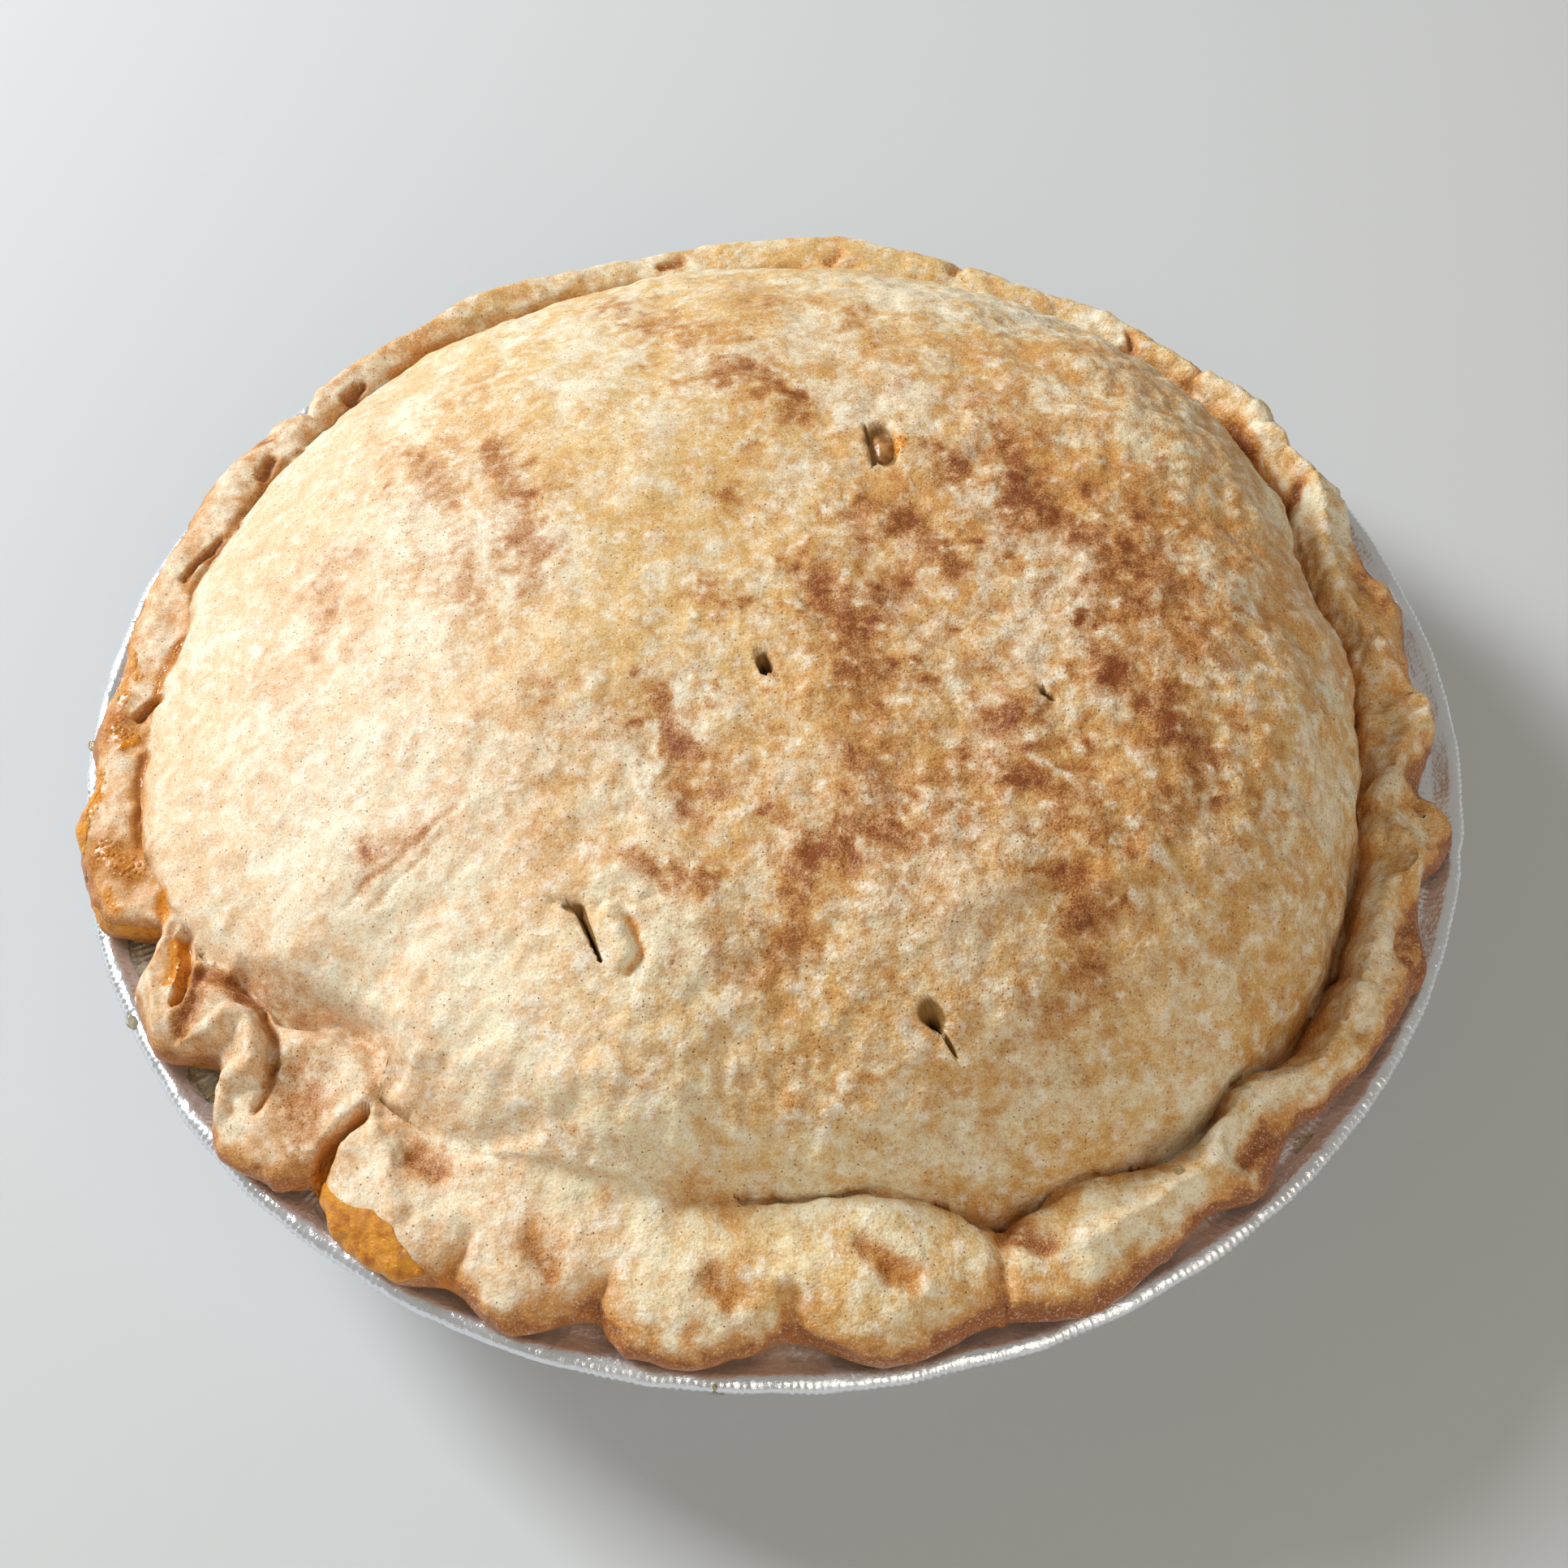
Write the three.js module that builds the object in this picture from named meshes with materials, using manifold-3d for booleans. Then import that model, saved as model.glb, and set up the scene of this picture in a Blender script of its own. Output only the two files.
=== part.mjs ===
// Apple pie in its own foil tin. Millimetres, +Z up.
// Origin: the middle of the tin's flat base. +Y points to the back of the pie, +X to its right.
// Angles are in degrees round the pie: 0 at the right, 90 at the back, 180 at the left, 270 at the front.
// Two pieces: the foil tin, and the baked pie, which is one solid down to the bottom of the tin.
import * as THREE from "three";
import { mergeVertices } from "three/addons/utils/BufferGeometryUtils.js";
import Module from "manifold-3d";

// ---------- driving dimensions ----------

const TIN_RADIUS = 122.5; // to the outside of the curled edge
const TIN_HEIGHT = 38; // to the top of the curled edge
const TIN_BASE_RADIUS = 94;
const FOIL = 0.6;
const CURL_RADIUS = 1.8; // of the rolled edge's own section
const FLANGE_WIDTH = 7.5; // flat ledge between the sloping wall and the curled edge
const FLANGE_TOP = TIN_HEIGHT - 1.5;
const TIN_BULGE = 1.1; // the tin is bent out this much at its left
const TIN_BULGE_ANGLE = 178;
const TIN_COLUMNS = 64;

const GAP = 0.35; // clear space between the crust and the foil
const PIE_TOP = 78.5; // height of the lid's middle, without its lumps
const DOME_SHOULDER = 0.75;
const LID_MEAN_RADIUS = 106;
const LID_MEAN_FOOT = 45;
const PIE_COLUMNS = 156;
const FOLDED_SIDE = 218; // angle where the crimps are tightest, so the columns crowd there
const CROWDING = 0.3;
const LOWEST_EDGE = 40.5; // height at which the rim reaches furthest out
const EDGE_ROUND = 2; // how far the rim's underside draws back under its edge

// Hand-crimped rim, as pairs of an angle and a size. Neighbours are joined by a cosine ramp.
// Reach of the rim from the pie's middle: the tips of the crimps and the notches between them.
const RIM_REACH = [
  [0, 116], [5, 114.2], [12, 118.4], [17, 114.2], [25, 118.4], [28, 116], [36.5, 119.8],
  [43, 116.6], [50, 116.6], [55, 118], [64, 116.4], [77, 116.6], [83, 119], [91, 116.4],
  [97, 116.8], [107, 116.2], [123, 118.6], [128, 117], [139.5, 118.2], [143.2, 115.8], [147, 118],
  [152, 120], [159, 119.4], [172, 119.4], [177, 119], [183, 121], [188, 120.4], [192.5, 124],
  [195, 123.2], [201, 122.6], [204.5, 112.6], [209.5, 121.2], [213.5, 121.8], [218, 114.8],
  [224.5, 123.1], [229, 121], [231.3, 116.8], [236, 121], [241, 121.8], [245.2, 118.8],
  [250, 122.1], [256.3, 116.2], [259.5, 120.5], [263, 121.2], [271.3, 116.2], [278.2, 121.4],
  [286.5, 118.4], [294, 121.5], [300, 119.5], [305, 117], [309, 119.5], [315, 115.8],
  [321, 117.8], [327, 119.2], [334, 119.6], [341, 115], [347.3, 120.2], [352, 113.5],
  [358, 117.2],
];
// Radius of the crease where the domed lid meets the rolled rim.
const CREASE_RADIUS = [
  [0, 102], [8, 101.4], [13, 99.6], [17, 99.6], [21, 101.6], [26, 107], [45, 108.4], [65, 104.5],
  [72, 106], [80, 104.5], [90, 106.5], [120, 108], [146, 108.5], [148, 106.5], [152, 108.5],
  [160, 107.5], [167, 109], [174, 105.5], [183, 110], [196, 112], [203, 110], [209, 108.5],
  [214, 105], [219, 103], [224, 95], [229, 94.5], [232, 101], [238, 101], [250, 98], [262, 97],
  [270, 96], [279, 96], [285, 99.5], [289, 104.5], [296, 102.5], [308, 107.4], [314, 104.5],
  [320, 107.5], [330, 107], [340, 104.5], [346, 102.8], [352, 102.4],
];
// Radius at which the domed lid would come down to its foot, and the height of that foot: low where
// the rim stands free of the lid, high where the two run together.
const LID_RADIUS = [
  [0, 103], [14, 100], [24, 105], [40, 107.6], [75, 107.5], [110, 108.5], [145, 110], [180, 112],
  [203, 112], [214, 107], [225, 97], [232, 101], [250, 101], [268, 98.5], [285, 101], [300, 105],
  [320, 107], [340, 104.6],
];
const LID_FOOT = [
  [0, 42], [60, 44], [150, 44], [180, 45.5], [200, 47], [222, 45], [236, 48], [256, 49.5],
  [270, 44], [288, 42], [340, 41],
];
// The higher, the flatter the lid's middle and the steeper its sides.
const LID_CROWN = [
  [0, 5.5], [40, 4.6], [60, 3.6], [90, 3], [110, 2.6], [180, 2.3], [230, 2.4], [270, 2.8],
  [300, 4], [320, 5], [340, 5.5],
];
// Height of the top of the rolled rim.
const CREST_HEIGHT = [
  [0, 49.6], [20, 50], [28, 49.6], [36, 50], [60, 48.5], [83, 50], [105, 48], [125, 49],
  [152, 48.5], [175, 48], [193, 47.5], [204, 46.5], [214, 50], [218, 49], [225, 48], [236, 48],
  [262, 48], [278, 49.5], [288, 46.5], [300, 48.6], [325, 49.2], [345, 49.6],
];
// Where the top of the rim lies between the crease and the rim's reach. The rope meanders at the right.
const CREST_PLACE = [
  [4.6, 0.49], [8, 0.37], [12, 0.26], [16, 0.34], [21, 0.5], [25, 0.54], [30, 0.58], [36, 0.5],
  [60, 0.55], [90, 0.6], [120, 0.6], [150, 0.5], [180, 0.42], [290, 0.42], [296, 0.53],
  [300, 0.58], [304, 0.52], [307, 0.5], [309.4, 0.24], [312.6, 0.26], [315, 0.38], [318, 0.66],
  [321.6, 0.65], [325.3, 0.46], [330.4, 0.33], [334.3, 0.26], [338, 0.35], [341.6, 0.8],
  [344, 0.42], [347, 0.3], [351, 0.34], [354.6, 0.56], [358.6, 0.82],
];

// Broad lumps and hollows of the lid, over the apple pieces: middle, spread and height.
const LUMPS = [
  { x: -45, y: 25, spread: 30, height: 1.2 },
  { x: -14, y: -36, spread: 16, height: -1.8 },
  { x: 56, y: -12, spread: 20, height: 1.5 },
  { x: 70, y: 42, spread: 14, height: 1.8 },
  { x: -24, y: -80, spread: 12, height: 1.8 },
  { x: 30, y: -60, spread: 16, height: 1.2 },
  { x: 84, y: 22, spread: 9, height: 1.3 },
  { x: 82, y: -22, spread: 8, height: 1.2 },
  { x: 72, y: -48, spread: 9, height: 1 },
  { x: 88, y: 0, spread: 7, height: -0.8 },
  { x: 56, y: 62, spread: 9, height: 1.1 },
  { x: 46, y: -76, spread: 9, height: -0.9 },
];

// Steam vents cut in the lid: middle, length, width and depth, and the direction they run in.
const VENTS = [
  { x: 17.4, y: 31.6, length: 10.5, width: 5.6, depth: 3.4, turn: 100 },
  { x: -1.9, y: -16.5, length: 5, width: 2.6, depth: 4, turn: 114 },
  { x: 42.9, y: -22, length: 5.4, width: 3, depth: 3.6, turn: 112 },
  { x: -29.4, y: -61.6, length: 11.4, width: 2.2, depth: 3.4, turn: 120 },
  { x: 25.2, y: -76.8, length: 8, width: 3.6, depth: 3.6, turn: 126 },
];

// Slots between the folded-over crimps at the front left, then the finger dents along the front.
const RIM_DENTS = [
  { x: -97.5, y: -56, height: 48.5, length: 13, width: 2.8, depth: 4.5, turn: 272 },
  { x: -82.5, y: -72, height: 49, length: 16, width: 2.6, depth: 3.5, turn: 272 },
  { x: -69.2, y: -88, height: 47.5, length: 14, width: 3, depth: 5, turn: 238 },
  { x: -35.6, y: -105.2, height: 49.5, length: 8, width: 6, depth: 2.6, turn: 251 },
  { x: -8.1, y: -110.1, height: 48.5, length: 8, width: 6, depth: 2.4, turn: 266 },
  { x: 18.6, y: -107.6, height: 50.5, length: 9, width: 6, depth: 2.6, turn: 280 },
  { x: 38.4, y: -101.6, height: 49.5, length: 7, width: 6, depth: 2.2, turn: 291 },
];

// ---------- shared shapes ----------

const radians = THREE.MathUtils.degToRad;
const mix = THREE.MathUtils.lerp;

// Value of a list of [angle, value] pairs at any angle, going round and round.
function around(pairs, angle) {
  const next = pairs.findIndex((pair) => pair[0] > angle);
  const after = next < 0 ? [pairs[0][0] + 360, pairs[0][1]] : pairs[next];
  const last = pairs[pairs.length - 1];
  let before = next < 0 ? last : pairs[next - 1];
  if (next === 0) before = [last[0] - 360, last[1]];
  const share = (angle - before[0]) / (after[0] - before[0]);
  return mix(before[1], after[1], share * share * (3 - 2 * share));
}

// A solid swept round the Z axis: profileAt(angle) gives [radius, height] points from the axis at
// the bottom, outwards and up, back to the axis at the top. The first and last are single points.
// The columns crowd by the given share towards FOLDED_SIDE.
function roundSolid(profileAt, columns, crowding) {
  const angles = Array.from({ length: columns }, (_, i) => {
    const even = (i * 360) / columns;
    const shift = THREE.MathUtils.radToDeg(crowding * Math.sin(radians(even - FOLDED_SIDE)));
    return THREE.MathUtils.euclideanModulo(even - shift, 360);
  });
  const profiles = angles.map(profileAt);
  const rings = profiles[0].length - 2;
  const points = [0, 0, profiles[0][0][1]];
  for (let ring = 1; ring <= rings; ring++) {
    profiles.forEach((profile, i) => {
      const turn = radians(angles[i]);
      points.push(profile[ring][0] * Math.cos(turn), profile[ring][0] * Math.sin(turn), profile[ring][1]);
    });
  }
  points.push(0, 0, profiles[0][rings + 1][1]);
  const top = points.length / 3 - 1;
  const at = (ring, i) => 1 + (ring - 1) * columns + (i % columns);
  const faces = [];
  for (let i = 0; i < columns; i++) {
    faces.push(0, at(1, i + 1), at(1, i));
    for (let ring = 1; ring < rings; ring++) {
      faces.push(at(ring, i), at(ring, i + 1), at(ring + 1, i + 1));
      faces.push(at(ring, i), at(ring + 1, i + 1), at(ring + 1, i));
    }
    faces.push(at(rings, i), at(rings, i + 1), top);
  }
  const geometry = new THREE.BufferGeometry();
  geometry.setAttribute("position", new THREE.Float32BufferAttribute(points, 3));
  geometry.setIndex(faces);
  return geometry;
}

// ---------- foil tin ----------

const curlMiddle = { radius: TIN_RADIUS - CURL_RADIUS, height: TIN_HEIGHT - CURL_RADIUS };
const wallTopRadius = TIN_RADIUS - 2 * CURL_RADIUS - FLANGE_WIDTH;

// Section of the tin: base, sloping wall and flange from below, the curled edge, and back inside.
function tinProfile(angle) {
  const points = [
    [0, 0],
    [TIN_BASE_RADIUS - 2, 0],
    [TIN_BASE_RADIUS, 1],
    [wallTopRadius, FLANGE_TOP - FOIL - 0.4],
    [wallTopRadius + 1, FLANGE_TOP - FOIL],
  ];
  for (let step = 0; step <= 4; step++) {
    const turn = radians(-160 + step * 75);
    points.push([
      curlMiddle.radius + CURL_RADIUS * Math.cos(turn),
      curlMiddle.height + CURL_RADIUS * Math.sin(turn),
    ]);
  }
  points.push(
    [wallTopRadius + 1, FLANGE_TOP],
    [wallTopRadius - FOIL, FLANGE_TOP - 1],
    [TIN_BASE_RADIUS - FOIL, 1 + FOIL],
    [TIN_BASE_RADIUS - 2 - FOIL, FOIL],
    [0, FOIL],
  );
  const lean = (0.5 + 0.5 * Math.cos(radians(angle - TIN_BULGE_ANGLE))) ** 2;
  return points.map(([radius, height]) => [
    radius + TIN_BULGE * lean * THREE.MathUtils.smoothstep(radius, TIN_BASE_RADIUS, TIN_RADIUS),
    height,
  ]);
}

function makeTin() {
  const foil = new THREE.MeshStandardMaterial({ color: 0xc9ccd0, roughness: 0.3, metalness: 1 });
  const tin = new THREE.Mesh(roundSolid(tinProfile, TIN_COLUMNS, 0), foil);
  tin.name = "tin";
  return tin;
}

// ---------- baked pie ----------

// Height of the domed lid at an angle and a distance from the middle. The uneven foot fades out
// towards the middle, which is evenly round.
function lidHeight(angle, radius) {
  const footRadius = around(LID_RADIUS, angle);
  const outwards = Math.min(radius / footRadius, 1);
  const share = Math.min(radius / mix(LID_MEAN_RADIUS, footRadius, outwards ** 4), 1);
  const rise = (1 - share ** around(LID_CROWN, angle)) ** DOME_SHOULDER;
  const foot = mix(LID_MEAN_FOOT, around(LID_FOOT, angle), outwards ** 4);
  const x = radius * Math.cos(radians(angle));
  const y = radius * Math.sin(radians(angle));
  const lumps = LUMPS.map((lump) => {
    const away = Math.hypot(x - lump.x, y - lump.y) / lump.spread;
    return lump.height * Math.exp(-away * away);
  });
  return mix(foot, PIE_TOP, rise) + lumps.reduce((sum, height) => sum + height, 0);
}

// Underside of the rim: it lies on the flange, and lifts over the curled edge.
function undersideHeight(radius) {
  const curlInside = TIN_RADIUS - 2 * CURL_RADIUS;
  const lift = THREE.MathUtils.smoothstep(radius, curlInside - 4, curlInside - 1);
  return mix(FLANGE_TOP + GAP, TIN_HEIGHT + GAP, lift);
}

// Section of the pie: bottom and side inside the tin, underside of the rim, its rounded edge and
// crest, the crease, and the lid up to the middle.
function pieProfile(angle) {
  const reach = around(RIM_REACH, angle);
  const creaseRadius = around(CREASE_RADIUS, angle);
  const creaseHeight = lidHeight(angle, creaseRadius);
  const crestHeight = around(CREST_HEIGHT, angle);
  const crestRadius = mix(creaseRadius, reach, around(CREST_PLACE, angle));
  const sideRadius = wallTopRadius - FOIL - GAP;
  const points = [
    [0, FOIL + GAP],
    [TIN_BASE_RADIUS - 2.5 - FOIL, FOIL + GAP],
    [TIN_BASE_RADIUS - FOIL - GAP, 1.2 + FOIL + GAP],
    [sideRadius, FLANGE_TOP - 0.7],
    [sideRadius + 0.3, undersideHeight(sideRadius)],
  ];
  const tuckRadius = Math.max(reach - EDGE_ROUND, sideRadius + 0.6);
  for (const share of [0.55, 1]) {
    const radius = mix(sideRadius, tuckRadius, share);
    points.push([radius, undersideHeight(radius)]);
  }
  for (const rise of [-30, 0, 28, 58]) {
    const out = Math.cos(radians(rise));
    const up = Math.sin(radians(rise));
    const tuck = undersideHeight(tuckRadius);
    points.push([
      rise < 0 ? mix(tuckRadius, reach, out) : mix(crestRadius, reach, out),
      rise < 0 ? mix(LOWEST_EDGE, tuck, -up) : mix(LOWEST_EDGE, crestHeight, up),
    ]);
  }
  for (const rise of [90, 65, 42, 20, 0]) {
    points.push([
      mix(crestRadius, creaseRadius, Math.cos(radians(rise))),
      mix(creaseHeight, crestHeight, Math.sin(radians(rise))),
    ]);
  }
  for (const share of [0.97, 0.93, 0.87, 0.78, 0.65, 0.46, 0.23]) {
    points.push([creaseRadius * share, lidHeight(angle, creaseRadius * share)]);
  }
  points.push([0, lidHeight(0, 0)]);
  return points;
}

const wasm = await Module();
wasm.setup();

// A geometry as a manifold-3d solid, with its shared corners merged.
function asSolid(geometry) {
  const bare = geometry.clone();
  bare.deleteAttribute("normal");
  bare.deleteAttribute("uv");
  const merged = mergeVertices(bare, 1e-4);
  return new wasm.Manifold(
    new wasm.Mesh({
      numProp: 3,
      vertProperties: merged.attributes.position.array,
      triVerts: new Uint32Array(merged.index.array),
    }),
  );
}

// An oval hollow with its middle at the given height, to sink into the crust.
function hollow({ x, y, height, length, width, depth, turn }) {
  const pod = new THREE.SphereGeometry(1, 8, 6);
  pod.scale(length / 2, width / 2, depth);
  pod.rotateZ(radians(turn));
  pod.translate(x, y, height);
  return asSolid(pod);
}

// Height of the lid's surface at a place on it.
function lidHeightAt({ x, y }) {
  const angle = THREE.MathUtils.euclideanModulo(THREE.MathUtils.radToDeg(Math.atan2(y, x)), 360);
  return lidHeight(angle, Math.hypot(x, y));
}

function makePie() {
  let solid = asSolid(roundSolid(pieProfile, PIE_COLUMNS, CROWDING));
  VENTS.forEach((vent) => {
    solid = solid.subtract(hollow({ ...vent, height: lidHeightAt(vent) }));
  });
  RIM_DENTS.forEach((dent) => {
    solid = solid.subtract(hollow(dent));
  });
  const mesh = solid.getMesh();
  const geometry = new THREE.BufferGeometry();
  geometry.setAttribute("position", new THREE.BufferAttribute(mesh.vertProperties, 3));
  geometry.setIndex(new THREE.BufferAttribute(mesh.triVerts, 1));
  const crust = new THREE.MeshStandardMaterial({ color: 0xe6c692, roughness: 0.75, metalness: 0 });
  const pie = new THREE.Mesh(geometry, crust);
  pie.name = "pie";
  return pie;
}

const applePie = new THREE.Group();
applePie.add(makeTin(), makePie());

export default applePie;
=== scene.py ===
import bpy
import numpy as np
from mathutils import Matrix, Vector


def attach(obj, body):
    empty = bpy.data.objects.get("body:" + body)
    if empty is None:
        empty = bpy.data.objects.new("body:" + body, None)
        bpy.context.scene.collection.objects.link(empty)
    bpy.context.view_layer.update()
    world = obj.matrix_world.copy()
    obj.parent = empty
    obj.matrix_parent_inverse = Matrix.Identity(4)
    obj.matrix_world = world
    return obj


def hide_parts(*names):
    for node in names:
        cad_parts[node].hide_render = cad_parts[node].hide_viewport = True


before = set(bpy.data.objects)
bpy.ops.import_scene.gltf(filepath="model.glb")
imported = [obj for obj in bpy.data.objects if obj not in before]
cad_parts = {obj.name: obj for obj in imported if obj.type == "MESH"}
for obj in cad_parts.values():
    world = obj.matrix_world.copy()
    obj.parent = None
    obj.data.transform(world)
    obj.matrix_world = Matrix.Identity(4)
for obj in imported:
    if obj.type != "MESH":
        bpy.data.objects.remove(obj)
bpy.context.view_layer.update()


# ---------- camera ----------
# It looks down on the pie from the front, 56 degrees above the table, as from a chair drawn up to it.

camera_data = bpy.data.cameras.new("camera")
camera_data.lens = 52.17
camera_data.sensor_width = 36
camera = bpy.data.objects.new("camera", camera_data)
camera.location = (0.00116, -0.2384, 0.3718)
camera.rotation_euler = (np.radians(34.05), 0, 0)
bpy.context.scene.collection.objects.link(camera)
bpy.context.scene.camera = camera


# ---------- foil tin ----------
# A round deep tin pressed from thin aluminium foil. The press gathers the foil of its wall and
# ledge into fine upright pleats, and its edge is rolled over outwards into a ribbed bead.

TIN_RADIUS = 122.5
TIN_HEIGHT = 38
TIN_BASE_RADIUS = 94
WALL_TOP_RADIUS = 111.4
FLANGE_TOP = 36.5
FOIL = 0.5
CURL_RADIUS = 1.8
PLEATS = 620

# How far the tin bulges, and in which direction.
TIN_BULGE = 1.1
TIN_BULGE_ANGLE = 178


def mix(low, high, share):
    """The value that lies the given share of the way from low to high."""
    return low + (high - low) * share


def ease(low, high, value):
    """0 below low, 1 above high, and the ramp 3t^2 - 2t^3 between them."""
    t = np.clip((value - low) / (high - low), 0, 1)
    return t * t * (3 - 2 * t)


def grain(points, size, seed):
    """Gradient noise in space, about -1 to 1, with lumps of the given size: each corner of a cubic
    lattice has a random direction, and its dot product with the way to the point is blended by
    the quintic 6t^5 - 15t^4 + 10t^3 along the three axes."""
    dice = np.random.default_rng(seed)
    order = np.tile(dice.permutation(256), 3)
    directions = dice.normal(size=(256, 3))
    directions /= np.linalg.norm(directions, axis=1, keepdims=True)
    place = np.asarray(points) / size + dice.uniform(0, 50, 3)
    cell = np.floor(place).astype(int)
    inside = place - cell
    fade = inside**3 * (inside * (inside * 6 - 15) + 10)
    total = 0
    for corner in np.ndindex(2, 2, 2):
        x, y, z = ((cell + corner) % 256).T
        way = directions[order[order[order[x] + y] + z]]
        weight = np.prod(np.where(corner, fade, 1 - fade), axis=1)
        total = total + weight * np.einsum("ij,ij->i", way, inside - corner)
    return 1.6 * total


def knit(counts):
    """Triangles between neighbouring rings of points. A ring has as many points as the one before
    it, twice as many, half as many, or one point, which closes the surface as a pole."""
    faces, start = [], 0
    for here, there in zip(counts, counts[1:]):
        a, b = start, start + here
        i = np.arange(min(here, there) if 1 not in (here, there) else max(here, there))
        j = i + 1
        if here == 1:
            faces += [(a + 0 * i, b + i, b + j % there)]
        elif there == 1:
            faces += [(a + i, b + 0 * i, a + j % here)]
        elif here == there:
            faces += [(a + i, b + i, b + j % there), (a + i, b + j % there, a + j % here)]
        elif there == 2 * here:
            faces += [(a + i, b + 2 * i, b + 2 * i + 1), (a + i, b + 2 * i + 1, a + j % here)]
            faces += [(a + j % here, b + 2 * i + 1, b + 2 * j % there)]
        else:
            faces += [(a + 2 * i, b + i, a + 2 * i + 1), (a + 2 * i + 1, b + i, b + j % there)]
            faces += [(a + 2 * i + 1, b + j % there, a + 2 * j % here)]
        start = b
    return np.concatenate([np.stack(face, axis=1) for face in faces])


def make_piece(name, points, faces, material, slot):
    """A smooth mesh from points in millimetres and triangles, riding with the pie."""
    mesh = bpy.data.meshes.new(name)
    mesh.from_pydata((points / 1000).tolist(), [], faces.tolist())
    mesh.shade_smooth()
    mesh.materials.append(material)
    piece = bpy.data.objects.new(name, mesh)
    bpy.context.scene.collection.objects.link(piece)
    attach(piece, "root")
    return piece


def round_points(radius, angle, height):
    """Points from a distance from the pie's middle, an angle and a height."""
    turn = np.radians(angle)
    return np.stack([radius * np.cos(turn), radius * np.sin(turn), height], axis=-1)


def tone(code):
    """A colour for a shader from its six hexadecimal digits."""
    share = np.array([int(code[i : i + 2], 16) / 255 for i in (0, 2, 4)])
    linear = np.where(share < 0.04045, share / 12.92, ((share + 0.055) / 1.055) ** 2.4)
    return (*linear.tolist(), 1.0)


def add_node(tree, kind, inputs=(), **settings):
    """A shader node with its settings and its inputs, each a value or another node's output."""
    node = tree.nodes.new(kind)
    for name, value in settings.items():
        setattr(node, name, value)
    for name, value in dict(inputs).items():
        if isinstance(value, bpy.types.NodeSocket):
            tree.links.new(value, node.inputs[name])
        else:
            node.inputs[name].default_value = value
    return node


def new_material(name):
    """A material with its node tree, its main shader and the object's own coordinates."""
    material = bpy.data.materials.new(name)
    material.use_nodes = True
    tree = material.node_tree
    place = tree.nodes.new("ShaderNodeTexCoord").outputs["Object"]
    return material, tree, tree.nodes["Principled BSDF"], place


def speckle(tree, place, scale, detail=3.0, roughness=0.55):
    """A noise texture's value; its lumps are about a metre divided by the scale across."""
    inputs = {"Vector": place, "Scale": scale, "Detail": detail, "Roughness": roughness}
    return add_node(tree, "ShaderNodeTexNoise", inputs).outputs[0]


def sums(tree, operation, first, second):
    """The result of a sum on two values."""
    return add_node(tree, "ShaderNodeMath", {0: first, 1: second}, operation=operation).outputs[0]


def ramp(tree, value, low, high, to_low=0.0, to_high=1.0):
    """A smooth step of a value between low and high."""
    inputs = {"Value": value, "From Min": low, "From Max": high, "To Min": to_low, "To Max": to_high}
    kind = "ShaderNodeMapRange"
    return add_node(tree, kind, inputs, interpolation_type="SMOOTHSTEP").outputs["Result"]


def tint(tree, share, under, over):
    """The colour under, covered by the colour over in the given share."""
    mixer = add_node(tree, "ShaderNodeMix", {0: share, 6: under, 7: over}, data_type="RGBA")
    return mixer.outputs[2]


def tin_section():
    """Radius and height along the tin's section, from the middle of its floor, up the inside of
    the wall, over the rolled edge, down the outside and back to the middle, and how strong the
    pleats are there."""
    turn = np.radians(np.linspace(120, -190, 13))
    middle, curl = TIN_RADIUS - CURL_RADIUS, TIN_HEIGHT - CURL_RADIUS
    foot, top, ledge = TIN_BASE_RADIUS, WALL_TOP_RADIUS, FLANGE_TOP - 0.6
    inside = [(30, FOIL, 0), (70, FOIL, 0), (91, FOIL, 0), (foot - FOIL, 1.6, 0.1)]
    inside += [(mix(foot, top - FOIL, t), mix(1.6, 35.4, t), mix(0.2, 1, t)) for t in (0.5, 1)]
    inside += [(radius, FLANGE_TOP, 0.7) for radius in (112.2, 113.4, 114.6, 115.7, 116.7, 117.6)]
    edge = [(middle + CURL_RADIUS * np.cos(a), curl + CURL_RADIUS * np.sin(a), 1) for a in turn]
    outside = [(117.4, ledge, 0.8), (114.5, ledge, 0.7), (112.4, ledge, 0.8), (top, 35, 1)]
    outside += [(mix(top, 94.2, t), mix(35, 1.4, t), mix(1, 0.25, t)) for t in (0.2, 0.4, 0.6, 0.8, 1)]
    outside += [(93.4, 0.3, 0.1), (91.5, 0, 0), (60, 0, 0)]
    return np.array(inside + edge + outside)


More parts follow.
